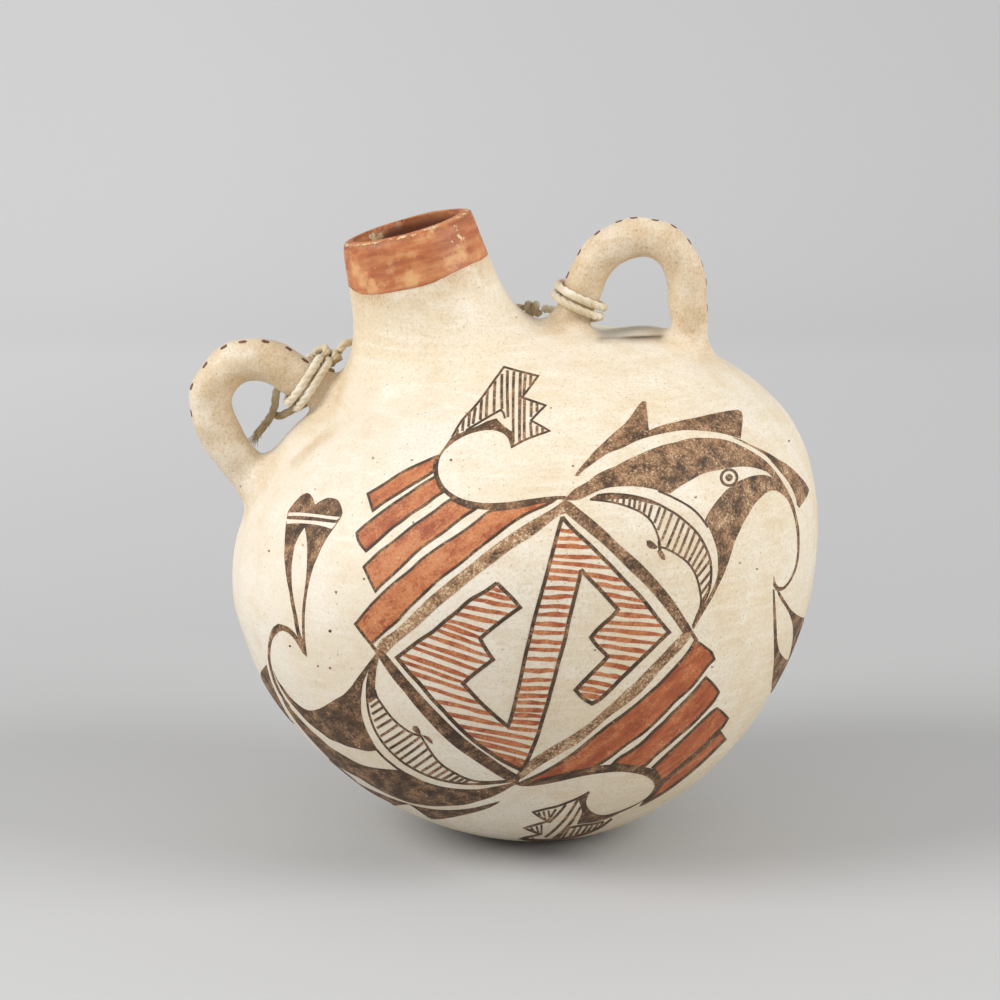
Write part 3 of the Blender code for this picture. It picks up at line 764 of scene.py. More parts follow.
# Painted highlight: whiter in patches towards the left flank, where the light falls, but not on the neck's
# top or the handled clay
painted_left_highlight = times(tree, ramp(tree, axes["X"], 0.03, -0.09, 0.0, 0.45), ramp(tree, clouds, 0.35, 0.65, 1.0, 0.6))
painted_left_highlight = times(tree, painted_left_highlight, ramp(tree, axes["Z"], 0.165, 0.180, 1.0, 0.0))
painted_left_highlight = times(tree, painted_left_highlight, ramp(tree, soil_and_shade_level, 0.0, 0.7, 1.0, 0.0))
soil_and_shade_grain = times(tree, ramp(tree, soil_and_shade_level, 0.2, 1.4, 0, 1.2), ramp(tree, clouds, 0.38, 0.62, 0.25, 0.65))
fading = times(tree, ramp(tree, below, -2.5, -0.3), ramp(tree, below, 1.0, 9.0, 1, 0))
crease_shadow_mask = times(tree, stored(tree, "painted_crease_shadow"), fading)
colour = hex_colour("#E9DFCC")
for amount, tone in (
        (ramp(tree, patches, 0.38, 0.62), "#E3D2B4"),
        (ramp(tree, clouds, 0.50, 0.70, 0, 0.6), "#D9C4A0"),
        (ramp(tree, clouds, 0.42, 0.30, 0, 0.55), "#F0E9DA"),
        (ramp(tree, strokes, 0.50, 0.66, 0, 0.45), "#F1E8D6"),
        (ramp(tree, grain, 0.48, 0.70, 0, 0.80), "#C9B18C"),
        (painted_left_highlight, "#F1EADF"),
        # Browner with soil where hands held the clay, and with painted shade on the neck's front and below
        # the left handle's foot
        (times(tree, soil_and_shade_level, ramp(tree, clouds, 0.40, 0.62, 0.20, 0.60)), "#CBAE86"),
        (times(tree, soil_and_shade_grain, ramp(tree, fine, 0.48, 0.68)), "#94714D"),
        # Painted shade behind the right handle's crease, and a dark painted shadow along the crease
        (times(tree, stored(tree, "painted_shade_behind_crease"), ramp(tree, below, -1.5, 0.5, 0.7, 0)), "#AEA899"),
        (times(tree, crease_shadow_mask, 0.6), "#94826A"),
        (times(tree, crease_shadow_mask, times(tree, fading, fading)), "#46382B"),
        (times(tree, tiny, 0.65), "#9A7C58"),
        (times(tree, pits, 0.8), "#5B4430")):
    colour = tint(tree, colour, amount, tone)
# The inside's bare clay, in a dark brown that also stands in for the shade within
inside_clay_and_shade = tint(tree, hex_colour("#6F4E38"), grain, "#8E6A4E")
colour = blend_colour(tree, stored(tree, "inside"), colour, inside_clay_and_shade)
tree.links.new(ramp(tree, clouds, 0.3, 0.7, 0.40, 0.58), tree.nodes["Principled BSDF"].inputs["Roughness"])
height = plus(tree, times(tree, strokes, 0.9), times(tree, grain, 0.35))
height = plus(tree, height, times(tree, tiny, -0.8))
height = plus(tree, height, times(tree, pits, -1.6))
finish_material(slip, colour, height, 0.55, 0.00022)
clay_jar.data.materials.clear()
clay_jar.data.materials.append(slip)
clay_tree = BVHTree.FromObject(clay_jar, bpy.context.evaluated_depsgraph_get())

# Red rim
# A band of red slip brushed round the neck's top, over the lip and a little way down inside, with a wavy
# lower edge. It has flaked off the lip in places. The edge's places are pixels read off the photograph.
RED_EDGE = (350.2, 287.3, 356, 291.5, 362, 294.4, 372, 294.6, 383, 293.7, 396, 291.3, 410, 288.7, 421, 286.2,
            432, 283, 443, 278, 453, 273, 462, 268.5, 471.5, 264, 481, 260, 485.5, 257)
THIN_PIXELS = ((461, 254), (452, 262), (364, 281), (372, 288), (412, 279), (356, 270))
WORN_PIXEL, CHIP_PIXEL = (456, 239), (376, 238)
RED_COAT, LIP_COAT, RED_SUNK, RED_INSIDE = 0.00012, 0.00030, 0.0003, 0.0125
RED_STEPS = 240
BACK_WAVER, INSIDE_WAVER = 0.0008, 0.0012
DOWN_OUTSIDE = (1, 0.97, 0.93, 0.86, 0.78, 0.68, 0.58, 0.48, 0.38, 0.28, 0.19, 0.10, 0)
LIP_STEPS, INSIDE_STEPS = 9, 7
LIP_START, OUTSIDE_START = 0.0003, 0.0006


def seen_at(pixel):
    """Where the camera sees this pixel of the photograph on the clay, or None beside the clay."""
    return clay_tree.ray_cast(camera.location, pixel_aim(*pixel))[0]


def laid_on(point, coat):
    """The clay's nearest place to a point, raised by the thickness of a coat."""
    nearest, normal, _, _ = clay_tree.find_nearest(point)
    return nearest + normal * coat


def new_mesh(name, vertices, faces):
    mesh = bpy.data.meshes.new(name)
    mesh.from_pydata(vertices, [], faces)
    made = bpy.data.objects.new(name, mesh)
    bpy.context.scene.collection.objects.link(made)
    return made


def lay_coat(coat, thickness):
    """Gives a coat of paint its thickness, sunk into the clay, and the clay's own smooth shading."""
    if sum(clay_tree.find_nearest(face.center)[1].dot(face.normal) for face in coat.data.polygons) < 0:
        edit_all(coat, bpy.ops.mesh.flip_normals)
    pick(coat)
    apply_modifier(coat, "SOLIDIFY", thickness=thickness, offset=-1)
    bpy.ops.object.shade_smooth()
    apply_modifier(coat, "DATA_TRANSFER", object=clay_jar, use_loop_data=True,
                   data_types_loops={"CUSTOM_NORMAL"}, loop_mapping="POLYINTERP_NEAREST")
    belongs(coat, "cream_slip")


def red_edge_height(angle):
    """The height of the red band's lower edge, read on the near side and carried on round the back."""
    if edge_heights[0][0] <= angle <= edge_heights[-1][0]:
        pairs_of = zip(edge_heights, edge_heights[1:])
        (a, low), (b, high) = next(pair for pair in pairs_of if pair[0][0] <= angle <= pair[1][0])
        return low + (high - low) * share(angle, a, b)
    (last, high), (first, low) = edge_heights[-1], edge_heights[0]
    gap = (first - last) % (2 * math.pi)
    part = ((angle - last) % (2 * math.pi)) / gap
    waver = BACK_WAVER * math.sin(9 * part) * math.sin(math.pi * part)
    return high + (low - high) * share(part, 0, 1) + waver


edge_heights = []
for i in range(0, len(RED_EDGE), 2):
    hit = upright @ seen_at(RED_EDGE[i:i + 2])
    edge_heights.append((math.atan2(hit.y, hit.x - NECK_OFFSET), hit.z))
edge_heights.sort()
rim_profile = [(RIM_RADIUS, part, "outside") for part in DOWN_OUTSIDE]
for i in range(LIP_STEPS + 1):
    rim_profile.append((RIM_RADIUS - LIP_START - (RIM_WALL - LIP_START) * i / LIP_STEPS, 0, "lip"))
rim_profile += [(rim_inside, i / INSIDE_STEPS, "inside") for i in range(1, INSIDE_STEPS + 1)]
vertices, quads, row = [], [], len(rim_profile)
for step in range(RED_STEPS):
    angle = 2 * math.pi * step / RED_STEPS - math.pi
    edge = red_edge_height(angle)
    out = Vector((math.cos(angle), math.sin(angle), 0))
    for radius, part, side in rim_profile:
        height = RIM_HEIGHT
        if side == "outside":
            height -= OUTSIDE_START + (RIM_HEIGHT - OUTSIDE_START - edge) * part
            radius = neck_radius(height)
        elif side == "inside":
            height -= (RED_INSIDE + INSIDE_WAVER * math.sin(5 * angle)) * part
        point = leaning @ (out * radius + Vector((NECK_OFFSET, 0, height)))
        vertices.append(laid_on(point, LIP_COAT if side == "lip" or part < 0.05 else RED_COAT))
    here, after = step * row, (step + 1) % RED_STEPS * row
    quads += [(here + i, after + i, after + i + 1, here + i + 1) for i in range(row - 1)]
red_rim = new_mesh("red_rim_band", vertices, quads)
lay_coat(red_rim, RED_COAT + RED_SUNK)

# Where the lip is chipped, the brush ran dry, a dark line edges the red, and the neck's inside is in shade
thin_places = [seen_at(pixel) for pixel in THIN_PIXELS]
worn_place, chip_place = seen_at(WORN_PIXEL), seen_at(CHIP_PIXEL)
chipped, thinned, outlined, down_inside = [], [], [], []
for vertex in red_rim.data.vertices:
    point = upright @ vertex.co
    from_axis = off_neck_axis(point)
    lip = 1 - share(abs(from_axis - RIM_RADIUS + 0.0014), 0.0004, 0.0015)
    lip *= share(point.z, RIM_HEIGHT - 0.0014, RIM_HEIGHT - 0.0004)
    rubbed = 1 - share((vertex.co - worn_place).length, 0.002, 0.0065)
    chip = 1 - share((vertex.co - chip_place).length, 0.0015, 0.0050)
    chipped.append(max(lip * 0.62, rubbed * 0.62, chip * 0.95))
    near_thin = min((vertex.co - place).length for place in thin_places)
    thinned.append(1 - share(near_thin, 0.0008, 0.0058))
    edge_line = 1 - share(abs(from_axis - RIM_RADIUS + 0.0002), 0.0002, 0.0008)
    edge_line *= share(point.z, RIM_HEIGHT - 0.0016, RIM_HEIGHT - 0.0004)
    edge = red_edge_height(math.atan2(point.y, point.x - NECK_OFFSET))
    outlined.append(max(edge_line, 0.6 * (1 - share(point.z - edge, 0.0002, 0.0009))))
    inner = from_axis < RIM_RADIUS - RIM_WALL / 2
    lit = 0.0055 * share(NECK_OFFSET - point.x, 0.006, 0.017)
    down_inside.append(share(RIM_HEIGHT - point.z, lit - 0.0006, lit + 0.0036) if inner else 0.0)
for name, levels in (("chipped", chipped), ("thinned", thinned), ("outlined", outlined),
                     ("down_inside", down_inside)):
    mark(red_rim, name, levels)


def turned(tree, place, angle):
    """The place on the object, turned about the axis that runs away from the camera."""
    return add_node(tree, "ShaderNodeMapping", {"Rotation": (0, angle, 0)}, {"Vector": place}).outputs[0]


# Iron-rich slip, brushed on wet and polished a little: streaks run round the neck, with cream where the lip
# is chipped and where the brush ran dry.
red_slip, tree, place = new_material("brushed_red_slip", 0.55)
brush = noise_at(tree, turned(tree, place, LEAN), 9, 4.0, 0.6, (0.5, 0.5, 3.0))
blotch = noise_at(tree, place, 9, 3.0)
grain = noise_at(tree, place, 1.5, 3.0, 0.7)
chips = noise_at(tree, place, 2.4, 6.0, 0.72)
bare = ramp(tree, plus(tree, chips, times(tree, stored(tree, "chipped"), 0.24)), 0.665, 0.685)
thin = plus(tree, times(tree, chips, 0.9), times(tree, stored(tree, "thinned"), 0.36))
colour = hex_colour("#A85A33")
for amount, tone in (
        (ramp(tree, blotch, 0.35, 0.65), "#C67C49"),
        (ramp(tree, brush, 0.45, 0.70, 0, 0.55), "#D39A66"),
        (ramp(tree, brush, 0.50, 0.32, 0, 0.7), "#934A28"),
        (ramp(tree, thin, 0.56, 0.82, 0, 0.8), "#DDA872"),
        (times(tree, stored(tree, "outlined"), ramp(tree, chips, 0.40, 0.60)), "#6F4227"),
        (ramp(tree, blotch, 0.60, 0.72, 0, 0.55), "#DDB384"),
        (bare, "#DFC194"),
        (times(tree, stored(tree, "down_inside"), 0.9), "#5E2D1B"),
        (ramp(tree, grain, 0.60, 0.72, 0, 0.35), "#8A4528")):
    colour = tint(tree, colour, amount, tone)
finish_material(red_slip, colour, plus(tree, times(tree, brush, 0.6), times(tree, bare, -0.9)), 0.6, 0.00025)
red_rim.data.materials.append(red_slip)

# Handle dashes
# A row of short strokes of dark red-brown paint along the outer ridge of each handle. Each is placed at
# the photograph's pixel, listed: first the left handle's, then the right one's.
DASH_LONG, DASH_WIDE, DASH_SIDES = 0.0028, 0.0022, 14
DASH_WAVER, DASH_LIFT, DASH_SUNK = 0.0003, 0.001, 0.0002
DASH_TURNS = (math.radians(19), math.radians(5))
DASH_PIXELS = (
    (191, 415, 191, 386, 203, 363, 223, 344, 242, 338, 266, 337, 291, 346, 308, 357),
    (568, 275, 578, 254, 596, 233, 617, 221, 634, 219, 655, 219, 674, 227, 688, 242, 701, 263, 706, 281,
     706, 306),
)


def squarish(value):
    return math.copysign(abs(value) ** 0.6, value)


vertices, corners = [], []
for loop, numbers in enumerate(DASH_PIXELS):
    route = even([leaning @ point for point in loops[loop]], 160)
    handle = (LEFT_HANDLE, RIGHT_HANDLE)[loop]
    hole = sum(route, Vector()) / len(route)
    ridge = []
    for i in range(1, len(route) - 1):
        ahead = (route[i + 1] - route[i - 1]).normalized()
        out = BACK.cross(ahead)
        if out.dot(route[i] - hole) < 0:
            out.negate()
        out = out * math.cos(DASH_TURNS[loop]) - BACK * math.sin(DASH_TURNS[loop])
        ridge.append((route[i] + out * handle["radius"], ahead, out))
    for i in range(0, len(numbers), 2):
        goal = Vector(numbers[i:i + 2])
        spot, ahead, out = min(ridge, key=lambda place: (pixel_of(place[0]) - goal).length)
        first = len(vertices)
        for k in range(DASH_SIDES):
            turn = 2 * math.pi * k / DASH_SIDES
            long = squarish(math.cos(turn)) * DASH_LONG / 2
            wide = squarish(math.sin(turn)) * DASH_WIDE / 2
            long += DASH_WAVER * noise.noise(Vector((k, loop, i)) * 1.7)
            point = spot + ahead * long + ahead.cross(out) * wide + out * DASH_LIFT
            vertices.append(laid_on(point, RED_COAT))
        vertices.append(laid_on(spot + out * DASH_LIFT, RED_COAT))
        corners += [(first + k, first + (k + 1) % DASH_SIDES, first + DASH_SIDES) for k in range(DASH_SIDES)]
dashes = new_mesh("handle_dashes", vertices, corners)
edit_all(dashes, bpy.ops.mesh.normals_make_consistent, inside=False)
lay_coat(dashes, RED_COAT + DASH_SUNK)

# Brown paint mixed with red: dark and quite matt, worn through to the cream slip in small grains
dark_red, tree, place = new_material("dark_red_brown_paint", 0.7)
grain = noise_at(tree, place, 1.2, 4.0, 0.7)
colour = tint(tree, hex_colour("#5F3A2B"), ramp(tree, grain, 0.40, 0.62), "#7E5240")
colour = tint(tree, colour, ramp(tree, grain, 0.63, 0.68), "#D8C2A0")
finish_material(dark_red, colour)
dashes.data.materials.append(dark_red)

# Painted design
# Brown mineral paint and red slip, brushed on the cream before firing: a framed lozenge with hatched frets,
# red bars, hooks, hatched crescents and leaves, with one half the other turned about. Each outline is read
# off in pixels of the photograph, and thrown on to the clay along the camera's own rays.
PAINT_TOP, PAINT_SUNK = 0.00012, 0.00020
LONGEST_PAINT_EDGE = 0.0042
BAR_EDGE_WIDTH = 2.8
BAR_SLOPE = math.radians(40)
SHARP_TURN = math.radians(38)
BRUSH_STEP = 4
HATCH_WAVER, HATCH_UNEVEN = 0.55, 0.22
SURE_REACH, EDGE_MARGIN, ROUND_THE_SIDE = 200.0, 1.5, 2.5
# Red bars, each between its brown edges
RED_BARS = {
    "first left": (
        368, 494, 380, 487, 390, 480.5, 400, 474, 410, 468.5, 420, 464, 430, 459.5, 438, 456, 435, 463,
        434, 471, 425, 477, 410, 486, 395, 495.5, 383, 503, 373, 510.5),
    "second left": (
        357, 533, 362, 528, 372, 520, 385, 510, 397, 501.5, 410, 493, 420, 486, 430, 480, 436, 476.5,
        439, 486, 443, 492, 435, 497, 425, 505, 412, 513, 402, 521, 392, 528, 381, 538, 372, 546, 366, 551,
        361, 545, 358, 539),
    "third left": (
        364, 567, 371, 560, 380, 551.5, 392, 543, 403, 534, 413, 526, 425, 518, 435, 511, 444, 504,
        451, 499.5, 458, 503, 466, 506.5, 475, 509.5, 465, 515.5, 455, 523, 443, 532.5, 432, 540, 422, 547,
        412, 556, 402, 566, 390, 577, 380, 586, 375.5, 591, 370, 580),
    "fourth left": (
        355.5, 624, 362, 616, 370, 606.5, 378, 598, 388, 588.5, 398, 580, 410, 570.5, 420, 561, 430, 553.5,
        442, 545, 455, 537, 467, 529, 478, 520.5, 489, 512, 500, 509.5, 515, 508, 530, 504.5, 545, 501.5,
        556, 499.5, 545, 505.5, 532, 511, 520, 517.5, 508, 525.5, 496, 535, 484, 544, 472, 553.5, 460, 563.5,
        450, 571, 438, 580, 427, 590.5, 417, 600, 407, 609.5, 397, 621, 385, 631, 371, 644, 363, 634),
    "first right": (
        695, 641, 700, 643.5, 706, 648, 711, 652, 714, 659, 708, 665, 702, 673, 696, 681, 690, 688, 682, 695,
        674, 702, 666, 711, 657, 720, 648, 728.5, 640, 735, 630, 741.5, 620, 749, 612, 755.5, 600, 763.5,
        590, 768, 575, 771.5, 560, 775, 545, 779, 528, 784, 521, 782.5, 535, 776.5, 547, 770.5, 558, 764,
        570, 756, 580, 748.5, 590, 740, 600, 732, 610, 724, 620, 717, 630, 709.5, 640, 701.5, 650, 692.5,
        660, 683.5, 668, 675, 676, 666.5, 684, 657.5, 690, 649.5),
    "second right": (
        706, 677.5, 711, 682, 716, 688, 718.5, 692, 714, 700, 709, 706, 703, 712.5, 696, 720, 688, 727.5,
        680, 734, 672, 741, 664, 748, 655, 755.5, 646, 764.5, 640, 766.5, 628, 765.5, 613, 763.5, 620, 757.5,
        630, 751.5, 640, 744.5, 648, 737, 655, 730, 664, 722, 672, 713.5, 680, 706, 687, 699, 694, 691.5,
        700, 684.5),
    "third right": (
        717, 708.5, 722, 712, 727.5, 718, 722, 727, 715, 733.5, 708, 741, 700, 749, 690, 757, 680, 766,
        670, 774, 661, 781.5, 659, 776, 655, 770, 653, 767.5, 662, 759, 670, 751.5, 680, 742.5, 690, 733,
        698, 725, 706, 717.5, 712, 712),
    "fourth right": (
        720, 732, 725, 739, 718, 746, 710, 754, 700, 763.5, 690, 772, 680, 780, 668, 789, 655, 797, 641, 805,
        650, 797, 656, 791, 660.5, 785, 668, 778, 678, 769.5, 688, 761, 698, 752.5, 708, 743, 715, 736),
}
# Brown shapes, each with how worn its paint is, from 0 to 1
BROWN_SHAPES = {
    "upper hook": (0.25, (
        452, 437, 444, 448, 438, 456, 434.5, 463, 433.5, 471, 435, 479, 439.5, 487, 446, 494.5, 455, 500.5,
        464, 505, 475, 508.5, 490, 509.8, 505, 508.5, 520, 505.8, 535, 502.3, 550, 499.5, 566, 499.5,
        566, 496, 555, 496.3, 540, 497.8, 524, 500, 510, 502, 496, 503, 482, 503, 470, 501, 460, 498,
        452, 493.5, 445, 487.5, 440.5, 480, 438.2, 473, 438.2, 465, 440, 457.5, 444, 451, 451, 444.5,
        459, 439, 468, 434.5, 478, 431.5, 488, 430, 497, 431, 504, 434, 508.5, 439, 511, 447.5, 514, 444,
        514, 433, 508, 429, 500, 422.5, 496.5, 418.5, 487, 421.5, 478, 426, 468, 430, 460, 433.5)),
    "upper fin": (0.55, (
        575, 476, 578, 470.5, 583, 464.5, 589, 458, 594, 451.5, 600, 446, 608, 438.5, 615, 432, 623, 425.5,
        630, 417.5, 637, 407.5, 642, 401.5, 646, 401.5, 647, 412, 648, 424, 649, 430.5, 655, 428, 662, 425.5,
        672, 423, 682, 420.5, 695, 418, 710, 414.5, 722, 412, 732, 410.5, 738, 410, 741.5, 412, 742.5, 417,
        742, 426, 740.5, 438.5, 735, 437, 728, 434.8, 720, 433, 710, 431.5, 700, 430.5, 690, 430, 680, 430.5,
        670, 432, 660, 434, 650, 436.5, 640, 439.5, 632, 443, 622, 448, 612, 451.5, 604, 455.5, 597, 460.5,
        590, 465.5, 583, 470.5, 578, 476)),
    "upper outer feather": (0.6, (
        733, 437.5, 740, 439.5, 748, 443.5, 756, 447.5, 764, 451, 772, 455.5, 779, 460, 786, 464, 791, 468,
        797, 473.5, 802, 479, 806, 484, 809, 490, 807, 496, 804, 501, 799, 508, 797, 505, 796, 499,
        793.5, 492, 790.5, 486, 786.5, 479.5, 782, 474, 777, 468, 772, 462, 767, 456.5, 760, 451.5,
        753, 447.5, 745, 443.5)),
    "upper bird": (0.6, (
        564, 500, 569, 494.5, 575, 489, 582, 485, 590, 480, 597, 474.5, 606, 470, 616, 466, 626, 460.5,
        636, 456, 646, 451.5, 655, 448, 665, 444.5, 675, 442.5, 685, 439.5, 695, 438, 705, 438, 716, 438.5,
        727, 440.5, 737, 444, 746, 448.5, 755, 453.5, 763, 459, 770, 465.5, 776, 472.5, 781, 480, 785, 486.5,
        789, 494, 793, 503, 796, 514, 798.5, 526, 799.3, 536, 799.3, 546, 798.8, 556, 797, 566, 794, 575,
        790, 582, 785, 588.5, 781, 591, 776, 590.5, 773.3, 586, 773.8, 576, 775.5, 583, 778, 586.5, 783, 587,
        788, 582, 792, 574.5, 795, 566, 796.8, 556, 797.3, 546, 797, 536, 795.5, 524, 793, 513, 790, 505,
        787, 499, 782, 494, 776, 490.5, 770, 491, 765, 493.5, 760, 498, 756, 502, 752, 508, 748, 515,
        743, 523, 740, 530, 736, 538.5, 733, 547, 730.5, 555, 728, 563, 725, 571, 721, 580, 717, 588,
        712, 598, 706, 608, 700, 618, 693.5, 629, 692, 627, 697, 616, 701.5, 609, 706, 602, 710, 594.5,
        714, 586, 717.3, 576, 718, 566, 717.8, 556, 716.5, 548, 714, 540, 710, 530, 705, 520, 707, 515.5,
        711, 509, 716, 502, 721, 496, 727, 489.5, 733, 485.5, 738, 481.5, 745, 478.5, 752, 476, 760, 475,
        766, 475.3, 771, 477, 775, 481, 771, 475.5, 766, 471.5, 760, 469.3, 752, 467.3, 742, 466.5,
        732, 467.5, 722, 469.3, 716, 470.5, 708, 472, 700, 475, 692, 479.5, 684, 484, 677, 488.5, 670, 493.5,
        662, 491.5, 655, 489.5, 645, 487.5, 635, 486.3, 622, 486.3, 610, 487.3, 600, 490, 592, 493.5,
        585, 497, 575, 500.3)),
    "upper crescent's root": (0.55, (
        590, 499, 597, 495, 610, 493.5, 625, 494.5, 640, 498, 650, 501.5, 658, 505.5, 650, 503.5, 640, 501,
        628, 499, 615, 499, 604, 500)),
    "upper rosette's first petal": (0.5, (
        646.5, 541, 650, 540, 654, 543, 658, 547.3, 655, 549, 650, 548.5, 647, 545.5)),
    "upper rosette's second petal": (0.5, (
        659, 549, 662, 551, 665, 556, 665, 560, 662, 559.5, 659, 555.5, 657.5, 551.5)),
    "frame, upper left": (0.9, (
        376, 652, 381, 641, 395, 631.5, 410, 617.5, 425, 602.5, 440, 589.5, 455, 577.5, 470, 566, 485, 553.5,
        500, 542.5, 513, 533.5, 530, 522.5, 545, 514, 556, 507.5, 564, 501, 566, 512, 557, 515.5, 550, 521,
        540, 529, 530, 536.5, 518, 543.5, 505, 552.5, 493, 562, 480, 571.5, 468, 581, 455, 592, 443, 601.5,
        430, 613, 420, 622.5, 410, 631, 395, 643, 385, 653)),
    "frame, upper right": (0.55, (
        564, 501, 570, 503, 580, 511, 600, 527.5, 620, 546.5, 640, 564, 655, 580, 670, 598, 680, 612.5,
        688, 625.5, 692, 632, 689, 636, 684, 632.5, 678, 623.5, 668, 610, 658, 597.5, 645, 583, 630, 569,
        618, 557, 605, 544.5, 590, 532, 575, 519.5, 566, 512)),
    "frame, lower right": (0.9, (
        692, 633, 688, 638, 680, 648, 672, 656, 665, 663, 658, 671, 651, 679, 645, 686, 638, 693, 628, 701,
        620, 707, 610, 714, 600, 722.5, 590, 731.5, 580, 740, 570, 746.5, 560, 752, 550, 758, 540, 764,
        530, 771, 521, 777.5, 518, 775, 523, 767.5, 533, 760.5, 545, 752.5, 556, 746, 570, 738, 583, 729.5,
        595, 720.5, 606, 710.5, 617, 701, 626, 692, 633, 686, 641, 678.5, 648, 671, 655, 664, 664, 655,
        670, 648, 678, 640, 684, 634)),
    "frame, lower left": (0.15, (
        376, 653, 385, 667, 395, 681, 405, 692.5, 415, 705.5, 427, 719, 440, 733, 455, 746.5, 470, 757,
        485, 767, 500, 776.5, 512, 782, 518, 782, 521, 777, 515, 773.5, 503, 766, 490, 757, 477, 748,
        463, 737, 450, 725, 437, 712, 425, 699.5, 415, 688.5, 405, 677, 395, 665, 385, 653, 380, 649)),
    "left leaf": (0.35, (
        287.5, 515, 288.5, 511, 292, 506, 297, 500, 302, 495, 307, 493, 310, 494, 313, 498, 315, 505,
        320, 501.5, 326, 498.5, 332, 498, 338, 500, 341, 506, 342.5, 513, 340, 519, 336, 525, 331, 532,
        327, 538, 322, 547, 318, 556, 314, 565, 311, 575, 308.5, 585, 306.5, 597, 305.3, 608, 304.6, 620,
        304.8, 632, 305.5, 643, 307, 657, 303, 650, 299, 640, 295.5, 628, 293.5, 615, 291, 603, 289.5, 592,
        287, 580, 285.5, 568, 284.5, 556, 284.8, 545, 285.3, 535, 286, 525)),
    "left leaf's hook": (0.45, (
        268.3, 660, 268, 650, 269, 640, 271, 632, 274, 626.5, 278, 623.8, 282, 624.5, 288, 627, 293, 631,
        297, 636, 301, 643.5, 304.5, 651, 307, 657, 303, 653, 299, 646, 295, 640, 291, 635, 287, 632,
        283, 630.5, 279, 631.5, 275, 635.5, 272, 641, 270.5, 650, 270.5, 660, 272.5, 670, 275.5, 680,
        280, 690, 285, 699, 290, 706, 284, 700, 278, 691, 273.5, 681, 270.5, 671)),
    "lower bird": (0.2, (
        273.5, 671, 277, 679, 282, 686, 287, 693, 293, 700, 300, 706, 306, 709.5, 312, 710.5, 320, 708.5,
        327, 704.5, 335, 699.5, 343, 695, 350, 688, 355, 681, 361, 673, 367, 665, 376, 653, 371, 664,
        367, 673, 363, 683, 362, 690, 361, 698, 361, 708, 362, 716, 365, 726, 369, 735, 374, 744, 378, 750,
        368, 751, 357, 748.5, 347, 746, 338, 742, 330, 739, 322, 733, 314, 727, 306, 720, 299, 712, 292, 704,
        286, 696, 280, 686, 276, 678)),
    "lower crescent's root": (0.4, (
        377, 653, 371.5, 665, 368.5, 677, 367, 690, 367.5, 703, 371, 702, 376, 698, 375, 688, 375.5, 678,
        376.5, 668, 378.5, 658)),
    "lower rosette's first petal": (0.5, (
        421, 735, 416, 733, 412.5, 729, 413, 726, 417, 726, 420, 730)),
    "lower rosette's second petal": (0.4, (
        422, 735, 428, 736.5, 432, 740, 432.7, 744, 428, 741)),
    "lower lens": (0.22, (
        279.5, 691, 287, 703, 294, 712, 303, 722, 312, 731, 320, 738, 330, 747, 340, 753, 350, 759, 360, 764,
        370, 767, 385, 769, 400, 770.5, 410, 774.5, 420, 779.5, 432, 784, 447, 787.5, 465, 789.3, 480, 789,
        495, 786.5, 507, 784, 517, 781.5, 520, 783.5, 514, 785, 507, 789, 500, 793, 490, 797.5, 480, 800.5,
        465, 804.5, 450, 805.5, 435, 806, 420, 804.5, 410, 802.5, 400, 799, 390, 795, 380, 790, 370, 784.5,
        360, 778, 350, 773, 340, 767, 330, 759, 321, 750, 314, 742.5, 306, 733.5, 299, 725, 292, 715.5,
        285, 704.5)),
    "lower fin": (0.15, (
        409, 804, 420, 807, 432, 809, 445, 810, 460, 809.5, 475, 807.5, 487, 804.5, 500, 801, 498, 803,
        488, 808, 475, 812, 460, 815.5, 447, 818, 438, 819, 431, 818.5, 425, 815, 418, 810)),
    "lower feather round the side": (0.25, (
        409, 804, 395, 799.5, 380, 793.5, 365, 786.5, 350, 778, 337, 768, 330, 761, 325, 764, 327, 772,
        336, 781, 352, 791, 370, 799, 390, 805)),
    "lower outer feather": (0.3, (
        266.5, 664.5, 268, 670, 270, 678, 273, 686, 277, 695, 281, 703, 285, 710.5, 290, 719, 292, 726,
        284, 724, 274, 716, 265, 704, 258, 692, 257, 681, 261, 672)),
    "lower hook": (0.25, (
        517, 783, 530, 780.5, 550, 776, 570, 771, 585, 768, 600, 765.5, 615, 764.5, 630, 765.5, 645, 767,
        653, 769.5, 659, 775, 661, 781, 659, 787, 654, 793, 647, 798, 640, 802.5, 630, 808, 620, 812.5,
        612, 816.5, 604, 819.5, 596, 821.5, 586, 823, 577, 824, 580, 817, 582, 811, 579.5, 803, 579, 799,
        584, 796, 589.5, 792, 586, 801, 588, 808, 593, 812.5, 600, 815, 608, 814.5, 618, 811.5, 628, 807.5,
        638, 803, 646, 798, 652, 792, 655, 786, 653, 781, 646, 776, 635, 773, 620, 771.5, 605, 772.5,
        590, 774.5, 575, 777.5, 560, 781, 545, 784, 530, 786, 521, 785.5)),
    "right leaf": (0.3, (
        777, 590, 779.5, 592, 783, 598, 787, 604, 791, 610, 795, 613.5, 801, 617, 808, 619, 814, 626,
        816, 638, 813, 652, 806, 668, 797, 682, 786, 692, 776, 696, 772.3, 693, 771.5, 686, 772.5, 678,
        773.5, 668, 774, 658, 774, 648, 773.8, 638, 773.6, 625, 773.3, 612, 773, 600, 772.8, 589, 774.2, 590,
        775, 602, 775.7, 612, 776.2, 622, 776.6, 632, 777, 640, 778.5, 649, 781.5, 655, 785, 659, 788, 660,
        790.5, 652, 792, 644, 793, 636, 793, 628, 791.5, 620, 788.5, 612, 785, 606, 781, 600, 778.3, 595)),
}
